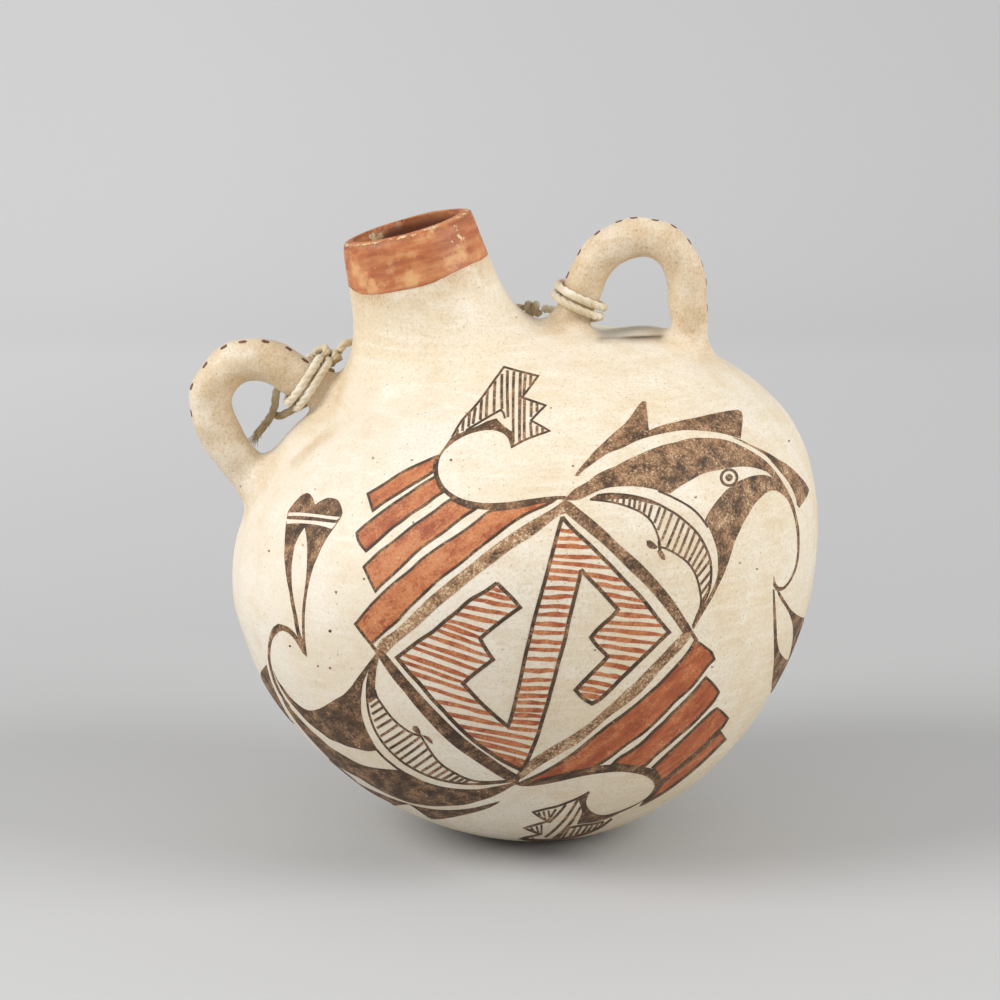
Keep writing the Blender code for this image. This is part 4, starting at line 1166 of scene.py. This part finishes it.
# Places inside the brown shapes that are left cream
CREAM_PLACES = {
    "left leaf's upper stripe": (
        288.6, 512.6, 300, 512.5, 315, 514, 330, 516, 341, 517, 337, 520, 330, 519.3, 315, 517.2, 300, 516,
        287.8, 516),
    "left leaf's lower stripe": (
        286.5, 519, 300, 519.8, 315, 520.8, 330, 522.5, 337, 523, 332, 529, 320, 525.5, 308, 523.8,
        297, 523.3, 286.5, 524),
    "left leaf's middle": (
        304.8, 527.5, 306.3, 535, 307.3, 545, 307.3, 556, 307, 568, 306, 580, 304.8, 590, 303.5, 600,
        302.3, 612, 302.2, 625, 302.8, 640, 299.5, 630, 297.5, 618, 295, 606, 293, 595, 291.8, 585,
        291.5, 575, 291.8, 565, 293, 555, 295, 545, 299, 536, 303, 530),
}
# Brown lines, each with its width in pixels
BROWN_LINES = {
    "left fret": (3.8, (
        497, 583, 485, 591.5, 470, 600, 457, 611.5, 445, 621, 433, 631.5, 420, 640, 408, 649, 397, 657.5,
        408, 671, 420, 684, 431, 697.5, 443, 710, 452, 720, 463, 731, 475, 741.5, 488, 751, 500, 759,
        512, 765.5, 521, 769.5, 526, 763, 531, 752, 536, 740, 540, 728, 544, 714, 548, 702, 551, 690,
        554.5, 678, 558, 664, 562, 650, 565.5, 637, 569, 620, 573, 604, 577, 588, 579.5, 578, 581, 570)),
    "left fret's steps": (3.8, (
        497, 583, 506, 592, 513.5, 599.5, 520, 607.5, 510, 614.5, 500, 622, 490, 630, 480, 638.5, 484, 646,
        488.5, 653, 493, 659.5, 483, 667, 472, 675.5, 463, 683.5, 472, 693.5, 481, 703, 492, 713, 500, 720,
        508, 726.5, 511, 718, 514, 707, 517, 694, 520, 681, 523, 667, 526, 653, 529.5, 639, 533, 624,
        537, 609, 541.5, 593, 546, 577, 550.5, 560, 555, 543, 559, 528, 562.5, 517)),
    "right fret": (3.8, (
        562.5, 517, 568, 524, 577, 533, 590, 545, 600, 555, 612, 567, 625, 581, 640, 596, 652, 611,
        660, 621.5, 669, 632, 658, 642.5, 650, 650.5, 640, 660, 630, 670, 620, 679.5, 612, 688, 600, 699,
        592, 703.5, 583, 698, 575.5, 690, 582, 683, 590, 675, 600, 665, 608, 656.5, 602, 650.5, 596, 644.5,
        591, 637.5, 597, 630, 604, 623.5, 612, 616.5, 618, 609.5, 608, 598.5, 600, 589.5, 590, 579.5,
        581, 569.5)),
    "upper crescent's outer line": (2.2, (
        597, 495.5, 608, 494, 620, 494.3, 632, 495.8, 643, 498.3, 652, 501.3, 660, 505, 668, 509.5, 676, 514,
        683, 519.5, 690, 525.5, 696, 531.5, 701, 538.5, 705, 546, 708.5, 554, 710.5, 562, 711.2, 570,
        711, 578, 710, 586, 708, 593, 705, 600, 701, 608, 697, 616, 693, 626)),
    "upper crescent's inner line": (1.9, (
        590, 499.5, 600, 500.5, 610, 501.8, 620, 504, 630, 507.5, 640, 511.8, 646, 516, 651, 521, 654.5, 527,
        657, 533, 659, 540, 660.5, 547, 666, 548.5, 671, 551, 677, 554.5, 683, 558.5, 688, 563, 692, 568,
        695, 573.5, 697.5, 580, 699.3, 587, 700.5, 594, 701, 601, 700, 608, 696, 617)),
    "upper bird's thin edge": (2, (
        658, 491, 668, 495, 676, 499, 684, 503.3, 692, 508.5, 698, 514, 703, 520, 708, 527.5)),
    "lower crescent's outer line": (1.9, (
        376, 655, 371, 666, 368, 678, 366.8, 690, 367.3, 702, 369, 713, 372, 723, 376, 732, 382, 741.5,
        388, 749, 396, 756.5, 404, 763, 414, 769, 424, 774, 436, 778.5, 450, 781.8, 465, 783.7, 480, 784,
        495, 783, 514, 781)),
    "lower crescent's inner line": (1.9, (
        375, 690, 377, 697, 383, 706, 388, 713, 394, 720, 401, 726, 408, 731, 414, 734, 421, 736, 424, 741,
        427, 746, 431, 752, 437, 760, 445, 767, 455, 773, 465, 778, 475, 781, 487, 782, 500, 781.3,
        514, 779.5)),
    "lower bird's thin edge": (2, (
        377, 750, 383, 756.5, 390, 762.5, 397, 768, 404, 772.5)),
    "upper sawtooth": (2, (
        452, 437, 462, 420.5, 474, 407.5, 484, 395, 492, 383.5, 499, 374, 504, 367, 520, 371.5, 538, 376,
        530, 387, 522, 397.5, 534, 401.5, 545.5, 405.5, 538, 413, 531, 420.5, 541, 426, 549.5, 431, 538, 435,
        526, 439.5, 511, 447.5)),
    "upper sawtooth's inner line": (2, (
        466, 430.5, 480, 422, 490, 416, 501, 410, 503.5, 413, 505, 418.5)),
    "lower sawtooth": (2, (
        589.5, 792, 578, 798, 566, 803, 556, 806.5, 545, 809, 533, 812, 540, 817, 548, 821, 536, 824.5,
        524, 828, 532, 831, 541, 834, 530, 836.5, 520, 838.5, 535, 840, 550, 839.8, 565, 838, 580, 835,
        592, 831, 602, 826, 612, 818.5)),
    "lower sawtooth's inner line": (1.8, (
        568, 828, 580, 825.5, 592, 824, 604, 821.5)),
    "left corner": (3.2, (
        371, 644, 378, 653, 384, 662)),
    "right corner": (3.6, (
        686, 623, 691, 632, 697, 641)),
    "bottom corner": (3.4, (
        508, 777, 517, 783, 524, 784.5)),
    "upper rosette's stem": (2.6, (
        658.8, 541, 660, 550)),
}
# Short straight strokes by their width, four numbers each, from one end to the other
BROWN_HATCHING = {
    2.7: (
        502, 374, 502, 409, 507.5, 370.5, 508, 417, 514, 371.5, 513.3, 442, 520.5, 373, 519.5, 442,
        525.5, 374.5, 523.8, 394, 524.5, 399, 524.3, 439, 531, 375.5, 530.3, 385, 531.5, 401.5, 531, 417,
        530.5, 422, 531.5, 436.5, 537, 403.5, 537, 412, 537, 426, 537, 434, 542.5, 428, 542.5, 433,
        495.2, 381, 494, 412.5, 487.5, 391, 486.3, 417, 481.7, 399.5, 480.3, 420, 475.5, 407.5, 473, 424,
        469.7, 413, 468.5, 427, 463.5, 419.5, 462.5, 431, 457.5, 429, 457, 435),
    2.5: (
        613, 497.5, 612, 502, 618, 497.5, 617, 503, 624, 498, 623.3, 504.5, 630, 499, 629, 506.5,
        635, 500, 634, 509, 640, 501.5, 639, 511, 646, 503, 643.5, 513.5, 652, 505, 648.5, 517.5,
        660, 507, 654.5, 523, 665.5, 509.5, 658, 530, 672, 513.5, 661.5, 541, 679, 518, 666.5, 548.5,
        684, 522.5, 673, 551, 689.5, 527, 679, 554, 695, 532, 684.5, 558, 700, 538.5, 688.5, 562,
        703.8, 545, 692, 566.5, 707.5, 552, 695, 572, 710, 560.5, 697, 577, 710.5, 571.5, 699.5, 585.5,
        710.5, 581, 701, 593.5, 708.5, 590.5, 702, 601.5, 705.5, 599, 700, 609),
    2.6: (
        379, 701, 371, 707, 384, 706.5, 372, 714, 388, 712.5, 374, 721, 393, 718.5, 377, 728,
        399, 724, 380.5, 736, 406, 729.5, 384, 743, 413.5, 733.5, 389, 749, 420, 737, 394.5, 754.5,
        424, 742, 400, 759.5, 428, 748.5, 406.5, 764, 432, 755, 413.5, 768, 438, 761, 421.5, 771.5,
        443, 765.5, 428, 775, 448.5, 769.5, 435, 777.5, 454, 773, 441.5, 780, 459, 776, 448.5, 782,
        464, 778, 455.5, 783, 469, 780, 462, 783.8),
    2.1: (
        556, 809, 546.5, 822.5, 578.5, 799, 545, 837, 580.5, 807, 553, 838.5, 566, 804.5, 549, 822.5,
        574, 819, 557, 838.5, 569, 828, 562, 838, 538.5, 812.5, 541, 817, 543.5, 811.5, 545.5, 819,
        548.5, 810.5, 550, 820, 531, 827.5, 533.5, 831, 536.5, 826, 538.5, 832.5, 541.5, 824.5, 541.5, 834,
        532, 837, 534, 839.5, 575.5, 827, 569.5, 836.5, 581.5, 826, 575.5, 835, 587.5, 825.5, 581.5, 834,
        592.5, 825, 587, 832, 598, 824, 593, 830, 603, 823, 599, 827.5),
}
# The frame's worn sides are a little wider than the outline of their darkest part
FRAME_GROWTH = {"frame, upper left": 0.8, "frame, upper right": 1.0, "frame, lower right": 1.4}
# Red hatching of the frets: its width, how far an end may be carried on, and its strokes
RED_HATCH_WIDTH = 4.2
HATCH_REACH = 8
RED_HATCHING = (
    493, 589, 501, 591, 487, 594, 506, 598, 478, 600, 513, 606.5, 468, 607.5, 507, 614.5,
    460, 614.5, 498, 622.5, 450, 621, 487, 631.5, 448, 626.5, 480, 637.5, 440, 631, 482, 645.5,
    430, 637, 488, 656, 421, 643, 486, 663.5, 414, 648, 477, 670, 405, 654.5, 469, 677, 401, 661, 463, 682.5,
    413, 673.5, 464, 690, 424, 687, 476, 702, 434, 700.5, 488, 713, 446, 713, 504, 726, 462, 726, 534, 739,
    474, 735.5, 531, 747, 481, 743.5, 528, 755, 493, 753, 524, 761, 505, 761, 521, 765, 561, 530, 571, 531,
    559, 538, 577, 538.5, 557, 546, 593, 547, 555, 556, 600, 558, 552, 562, 612, 568, 550, 570, 579, 572,
    548, 577.5, 578, 579.5, 545, 588, 577, 589, 543, 597.5, 575, 596, 541, 606, 572, 607,
    539, 614.5, 570, 615, 537, 624, 568, 625, 534.5, 632, 566, 633, 533, 641, 564, 643,
    530.5, 649.5, 561, 650.5, 528, 658.5, 559, 660, 526, 670.5, 556, 670.5, 523.5, 680, 554, 679.5,
    521.5, 688.5, 552, 688.5, 519.5, 696, 550, 696, 518, 702.5, 548, 703.5, 516, 710, 546, 711,
    514, 714.5, 545, 716.5, 511.5, 721, 543, 723.5, 508, 727.5, 540, 731, 586, 573.5, 626, 581,
    600, 584.5, 634, 590, 608, 594.5, 643, 601, 614, 604, 650, 608.5, 617, 614, 655, 617.5,
    610, 622, 662, 626, 603, 629.5, 666, 635, 595, 636.5, 658, 644, 600, 645.5, 652, 652, 608, 656, 642, 660,
    603, 664, 634, 668.5, 594, 673.5, 625, 677.5, 581, 680.5, 616, 686, 578, 688, 607, 692,
    583, 695, 599, 697.5,
)
# The bird's eye: middle, radius and layer, from the outside in
EYE = (729, 477.6)
EYE_RINGS = ((9.2, "brown"), (6.6, None), (3.6, "brown"), (0.6, None))
# Splashes and iron specks: middle and radius
SPECKS = (
    451, 460, 1.4, 573, 466, 1.3, 551, 408, 0.9, 695.5, 497, 1.6, 757, 569, 1.1, 330, 631, 1.8,
    318, 666, 1.2, 330, 668, 1.5, 364, 579, 1.2, 336, 592, 1.3, 290, 646, 1.2, 712, 667, 1.1, 595, 650, 1.2,
    269, 551, 1.1, 303, 545, 0.9, 373, 458, 1.4, 789, 441, 1.1, 740, 563, 0.9,
)


def pairs(numbers):
    return [Vector(numbers[i:i + 2]) for i in range(0, len(numbers), 2)]


def brushed(points, closed):
    """The line with its gentle turns rounded, as a brush draws it, and its sharp corners kept."""
    count, fine = len(points), []
    for i in range(count if closed else count - 1):
        b, c = points[i], points[(i + 1) % count]
        a = points[i - 1] if closed or i else b
        d = points[(i + 2) % count] if closed or i + 2 < count else c
        if (b - a).length < 1e-6 or (b - a).angle(c - b) > SHARP_TURN:
            a = 2 * b - c
        if (d - c).length < 1e-6 or (c - b).angle(d - c) > SHARP_TURN:
            d = 2 * c - b
        steps = max(1, round((c - b).length / BRUSH_STEP))
        fine += [bend(a, b, c, d, step / steps) for step in range(steps)]
    return fine if closed else [*fine, points[-1]]


def outlined_by(numbers):
    return brushed(pairs(numbers), True)


def stroke(points, width, closed=False):
    """Four-sided pieces of one brush line, joined at mitred corners."""
    count, sides = len(points), []
    for i, point in enumerate(points):
        ways = []
        if closed or i:
            ways.append((point - points[i - 1]).normalized())
        if closed or i + 1 < count:
            ways.append((points[(i + 1) % count] - point).normalized())
        way = sum(ways, Vector((0, 0)))
        way = way.normalized() if way.length > 0.2 else ways[0]
        across = Vector((-way.y, way.x)) * width / 2 / max(way.dot(ways[0]), 0.6)
        sides.append((point + across, point - across))
    sides += sides[:1] if closed else []
    return [[a[0], b[0], b[1], a[1]] for a, b in zip(sides, sides[1:])]


def round_dot(x, y, radius, sides):
    turns = [2 * math.pi * k / sides for k in range(sides)]
    return [Vector((x + radius * math.cos(a), y + radius * math.sin(a))) for a in turns]


fret_edges = []
for name in ("left fret", "left fret's steps", "right fret"):
    line = pairs(BROWN_LINES[name][1])
    fret_edges += zip(line, line[1:])


def to_fret_edge(end, way):
    """The end of a hatch stroke, carried on to the fret's outline where that is near."""
    nearest, reached = end, HATCH_REACH
    for a, b in fret_edges:
        across = way.x * (b - a).y - way.y * (b - a).x
        if abs(across) < 1e-9:
            continue
        along = ((a - end).x * (b - a).y - (a - end).y * (b - a).x) / across
        part = ((a - end).x * way.y - (a - end).y * way.x) / across
        if 0 <= part <= 1 and abs(along) < abs(reached):
            nearest, reached = end + way * along, along
    return nearest


# The layers of paint, from the bottom up, each with its colour, how worn it is and its outline
layers = []
for name, numbers in RED_BARS.items():
    layers.append(("red", 0.7 if "left" in name else 0.15, outlined_by(numbers)))
brush_hand = random.Random(7)
for i in range(0, len(RED_HATCHING), 4):
    first, last = pairs(RED_HATCHING[i:i + 4])
    way = (last - first).normalized()
    first, last = to_fret_edge(first, way), to_fret_edge(last, way)
    side = Vector((-way.y, way.x))
    line = [first.lerp(last, k / 4) + side * brush_hand.uniform(-HATCH_WAVER, HATCH_WAVER) for k in range(5)]
    widths = [RED_HATCH_WIDTH * (1 + brush_hand.uniform(-HATCH_UNEVEN, HATCH_UNEVEN)) for _ in line]
    widths[0] *= 0.8
    widths[4] *= 0.6
    tops = [point + side * width / 2 for point, width in zip(line, widths)]
    bottoms = [point - side * width / 2 for point, width in zip(line, widths)]
    layers.append(("red", 0.5, brushed(tops + bottoms[::-1], True)))


def lay_line(points, width, wear, closed=False):
    for face in stroke(points, width, closed):
        layers.append(("brown", wear, face))


for name, (wear, numbers) in BROWN_SHAPES.items():
    layers.append(("brown", wear, outlined_by(numbers)))
    if name in FRAME_GROWTH:
        lay_line(outlined_by(numbers), 2 * FRAME_GROWTH[name], wear, True)
for numbers in CREAM_PLACES.values():
    layers.append((None, 0, outlined_by(numbers)))
for numbers in RED_BARS.values():
    lay_line(outlined_by(numbers), BAR_EDGE_WIDTH, 0.1, True)
for width, numbers in BROWN_LINES.values():
    lay_line(brushed(pairs(numbers), False), width, 0.1)
for width, numbers in BROWN_HATCHING.items():
    for i in range(0, len(numbers), 4):
        lay_line(pairs(numbers[i:i + 4]), width, 0.4)
for i in range(0, len(SPECKS), 3):
    x, y, radius = SPECKS[i:i + 3]
    layers.append(("brown", 0.75, round_dot(x, y, radius * 0.9, 7)))
for radius, colour in EYE_RINGS:
    layers.append((colour, 0.3, round_dot(*EYE, radius, 24)))
flat_points, flat_faces = [], []
for _, _, face in layers:
    order = list(range(len(flat_points), len(flat_points) + len(face)))
    reversed_face = sum(a.x * b.y - a.y * b.x for a, b in zip(face, face[1:] + face[:1])) < 0
    flat_faces.append(order[::-1] if reversed_face else order)
    flat_points += face
points, _, faces, _, _, sources = delaunay_2d_cdt(flat_points, [], flat_faces, 1, 1e-4)
middle = Vector(JAR_MIDDLE_PIXEL)


def on_clay(point):
    """Where the camera sees this pixel of the photograph on the clay, or how it goes on round the side."""
    place = seen_at(point)
    if place is not None:
        return place
    way, near, far = (point - middle).normalized(), SURE_REACH, (point - middle).length
    while far - near > 0.5:
        if seen_at(middle + way * (near + far) / 2) is None:
            far = (near + far) / 2
        else:
            near = (near + far) / 2
    edge = seen_at(middle + way * (near - EDGE_MARGIN))
    beyond = ((point - middle).length - near + EDGE_MARGIN) * PIXEL * ROUND_THE_SIDE
    side = view_right * way.x - view_up * way.y
    turn = Matrix.Rotation(beyond / BODY_RADIUS, 3, view_back.cross(side))
    outward = (turn @ (edge - JAR_MIDDLE)).normalized()
    return clay_tree.ray_cast(JAR_MIDDLE + outward * 0.2, -outward)[0]


def paint_piece(name, colour):
    """One thin coat of paint of this colour, laid close on the clay."""
    chosen = []
    for face, source in zip(faces, sources):
        if source and layers[max(source)][0] == colour:
            chosen.append((face, layers[max(source)][1]))
    used = sorted({v for face, _ in chosen for v in face})
    index = {v: i for i, v in enumerate(used)}
    corners = [[index[v] for v in face] for face, _ in chosen]
    made = new_mesh(name, [on_clay(points[v]) for v in used], corners)
    mark(made, "wear", [level for _, level in chosen], "FACE")
    mesh = made.data
    pick(made)
    for _ in range(3):
        for edge in mesh.edges:
            ends = [mesh.vertices[v].co for v in edge.vertices]
            edge.select = (ends[1] - ends[0]).length > LONGEST_PAINT_EDGE
        bpy.ops.object.mode_set(mode="EDIT")
        bpy.ops.mesh.select_mode(type="EDGE")
        bpy.ops.mesh.subdivide(number_cuts=1, quadcorner="INNERVERT")
        bpy.ops.mesh.select_all(action="DESELECT")
        bpy.ops.object.mode_set(mode="OBJECT")
    for vertex in mesh.vertices:
        vertex.co = laid_on(vertex.co, PAINT_TOP)
    edit_all(made, bpy.ops.mesh.normals_make_consistent, inside=False)
    lay_coat(made, PAINT_TOP + PAINT_SUNK)
    return made


brown_paint = paint_piece("brown_paint", "brown")
red_paint = paint_piece("red_paint", "red")

# Brown of ground iron ore and boiled plant juice, matt and flaking where it is thick: the cream slip shows
# through in grains and small patches. The red is the rim's slip, thinly brushed, so that it is streaky.
for piece, name, tones, flake in (
        (brown_paint, "worn_brown_mineral_paint", ("#3D2D20", "#604833", "#AD835E", "#DCC7A5"), 1.0),
        (red_paint, "thin_red_slip", ("#94492D", "#B4643C", "#CB8557", "#E0BE97"), 0.35)):
    paint, tree, place = new_material(name, 0.62, 0.35)
    wear = stored(tree, "wear")
    grain = noise_at(tree, place, 0.85, 6.0, 0.78)
    blotch = noise_at(tree, place, 6.5, 5.0, 0.64)
    streak = noise_at(tree, turned(tree, place, BAR_SLOPE), 6.0, 4.0, 0.65, (0.45, 1.0, 2.4))
    thin = plus(tree, times(tree, grain, 0.66), times(tree, blotch, 0.52))
    thin = plus(tree, thin, times(tree, streak, 0.22))
    thin = plus(tree, thin, times(tree, wear, 0.15))
    lost = plus(tree, plus(tree, grain, times(tree, blotch, 0.35)), times(tree, wear, 0.13 * flake))
    lost = ramp(tree, lost, 0.825, 0.885)
    colour = tint(tree, hex_colour(tones[0]), ramp(tree, streak, 0.36, 0.64), tones[1])
    colour = tint(tree, colour, ramp(tree, thin, 0.715, 0.875), tones[2])
    colour = tint(tree, colour, lost, tones[3])
    finish_material(paint, colour, lost, 0.5, 0.00015)
    piece.data.materials.append(paint)

# Floor and backdrop
# One wide sheet of pale grey paper, matt and without a crease. It lies flat under the jar and curves up
# behind it in one sweep, so that no edge or horizon shows.
PAPER_SIDE, PAPER_RISE, PAPER_CURVE, CURVE_STEPS = 4, 2.4, 0.9, 24
BACK_EDGE = 1.9

bpy.ops.object.select_all(action="DESELECT")
bpy.ops.mesh.primitive_plane_add(size=PAPER_SIDE, location=(0, 0, 0))
paper = bpy.context.object
paper.name = "paper_sweep"
edit_all(paper, bpy.ops.mesh.select_all, action="DESELECT")
for edge in paper.data.edges:
    edge.select = all(paper.data.vertices[v].co.y > BACK_EDGE for v in edge.vertices)
for vertex in paper.data.vertices:
    vertex.select = vertex.co.y > BACK_EDGE
bpy.ops.object.mode_set(mode="EDIT")
bpy.ops.mesh.extrude_region_move(TRANSFORM_OT_translate={"value": (0, 0, PAPER_RISE)})
bpy.ops.object.mode_set(mode="OBJECT")
apply_modifier(paper, "BEVEL", width=PAPER_CURVE, segments=CURVE_STEPS, limit_method="ANGLE")
pick(paper)
bpy.ops.object.shade_smooth()
paper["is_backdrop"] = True

# Plain matt paper with painted shade on it: a darker grey under the jar and to its right, lighter further
# back and up the sweep
grey_paper, tree, place = new_material("grey_paper", 0.9, 0.1)
axes = add_node(tree, "ShaderNodeSeparateXYZ", links={"Vector": place}).outputs
colour = tint(tree, hex_colour("#C1C1C1"), ramp(tree, axes["Y"], -0.25, 0.10), "#BABABA")
colour = tint(tree, colour, ramp(tree, axes["Y"], 0.30, 1.00), "#D5D5D5")
colour = tint(tree, colour, ramp(tree, axes["Z"], 0.0, 0.23), "#CECECE")
colour = tint(tree, colour, ramp(tree, axes["X"], -0.3, 0.7, 0, 0.5), "#AFAFAF")
finish_material(grey_paper, colour)
paper.data.materials.append(grey_paper)

# Light
# Two large softboxes in front, up on the left and weaker on the right, and a pale sky as the fill. They give
# the photograph's soft light: a bright left flank, a little shine on the slip and a faint shadow underneath.
SOFTBOX_ACROSS, SKY_STRENGTH = 1.4, 0.57

for name, place, watts in (("left_softbox", (-1.76, -0.74, 1.40), 38.5),
                           ("right_softbox", (1.80, -0.64, 1.15), 29)):
    bpy.ops.object.light_add(type="AREA", location=place)
    lamp = bpy.context.object
    lamp.name = name
    lamp.data.shape = "DISK"
    lamp.data.size = SOFTBOX_ACROSS
    lamp.data.energy = watts
    lamp.rotation_euler = (lamp.location - JAR_MIDDLE).to_track_quat("Z", "Y").to_euler()
world = bpy.data.worlds.new("soft_sky")
bpy.context.scene.world = world
world.use_nodes = True
sky = world.node_tree.nodes["Background"].inputs
sky["Color"].default_value = hex_colour("#FFFFFF")
sky["Strength"].default_value = SKY_STRENGTH

corners = [[list(corner) for corner in pair] for pair in (cad_corners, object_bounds())]
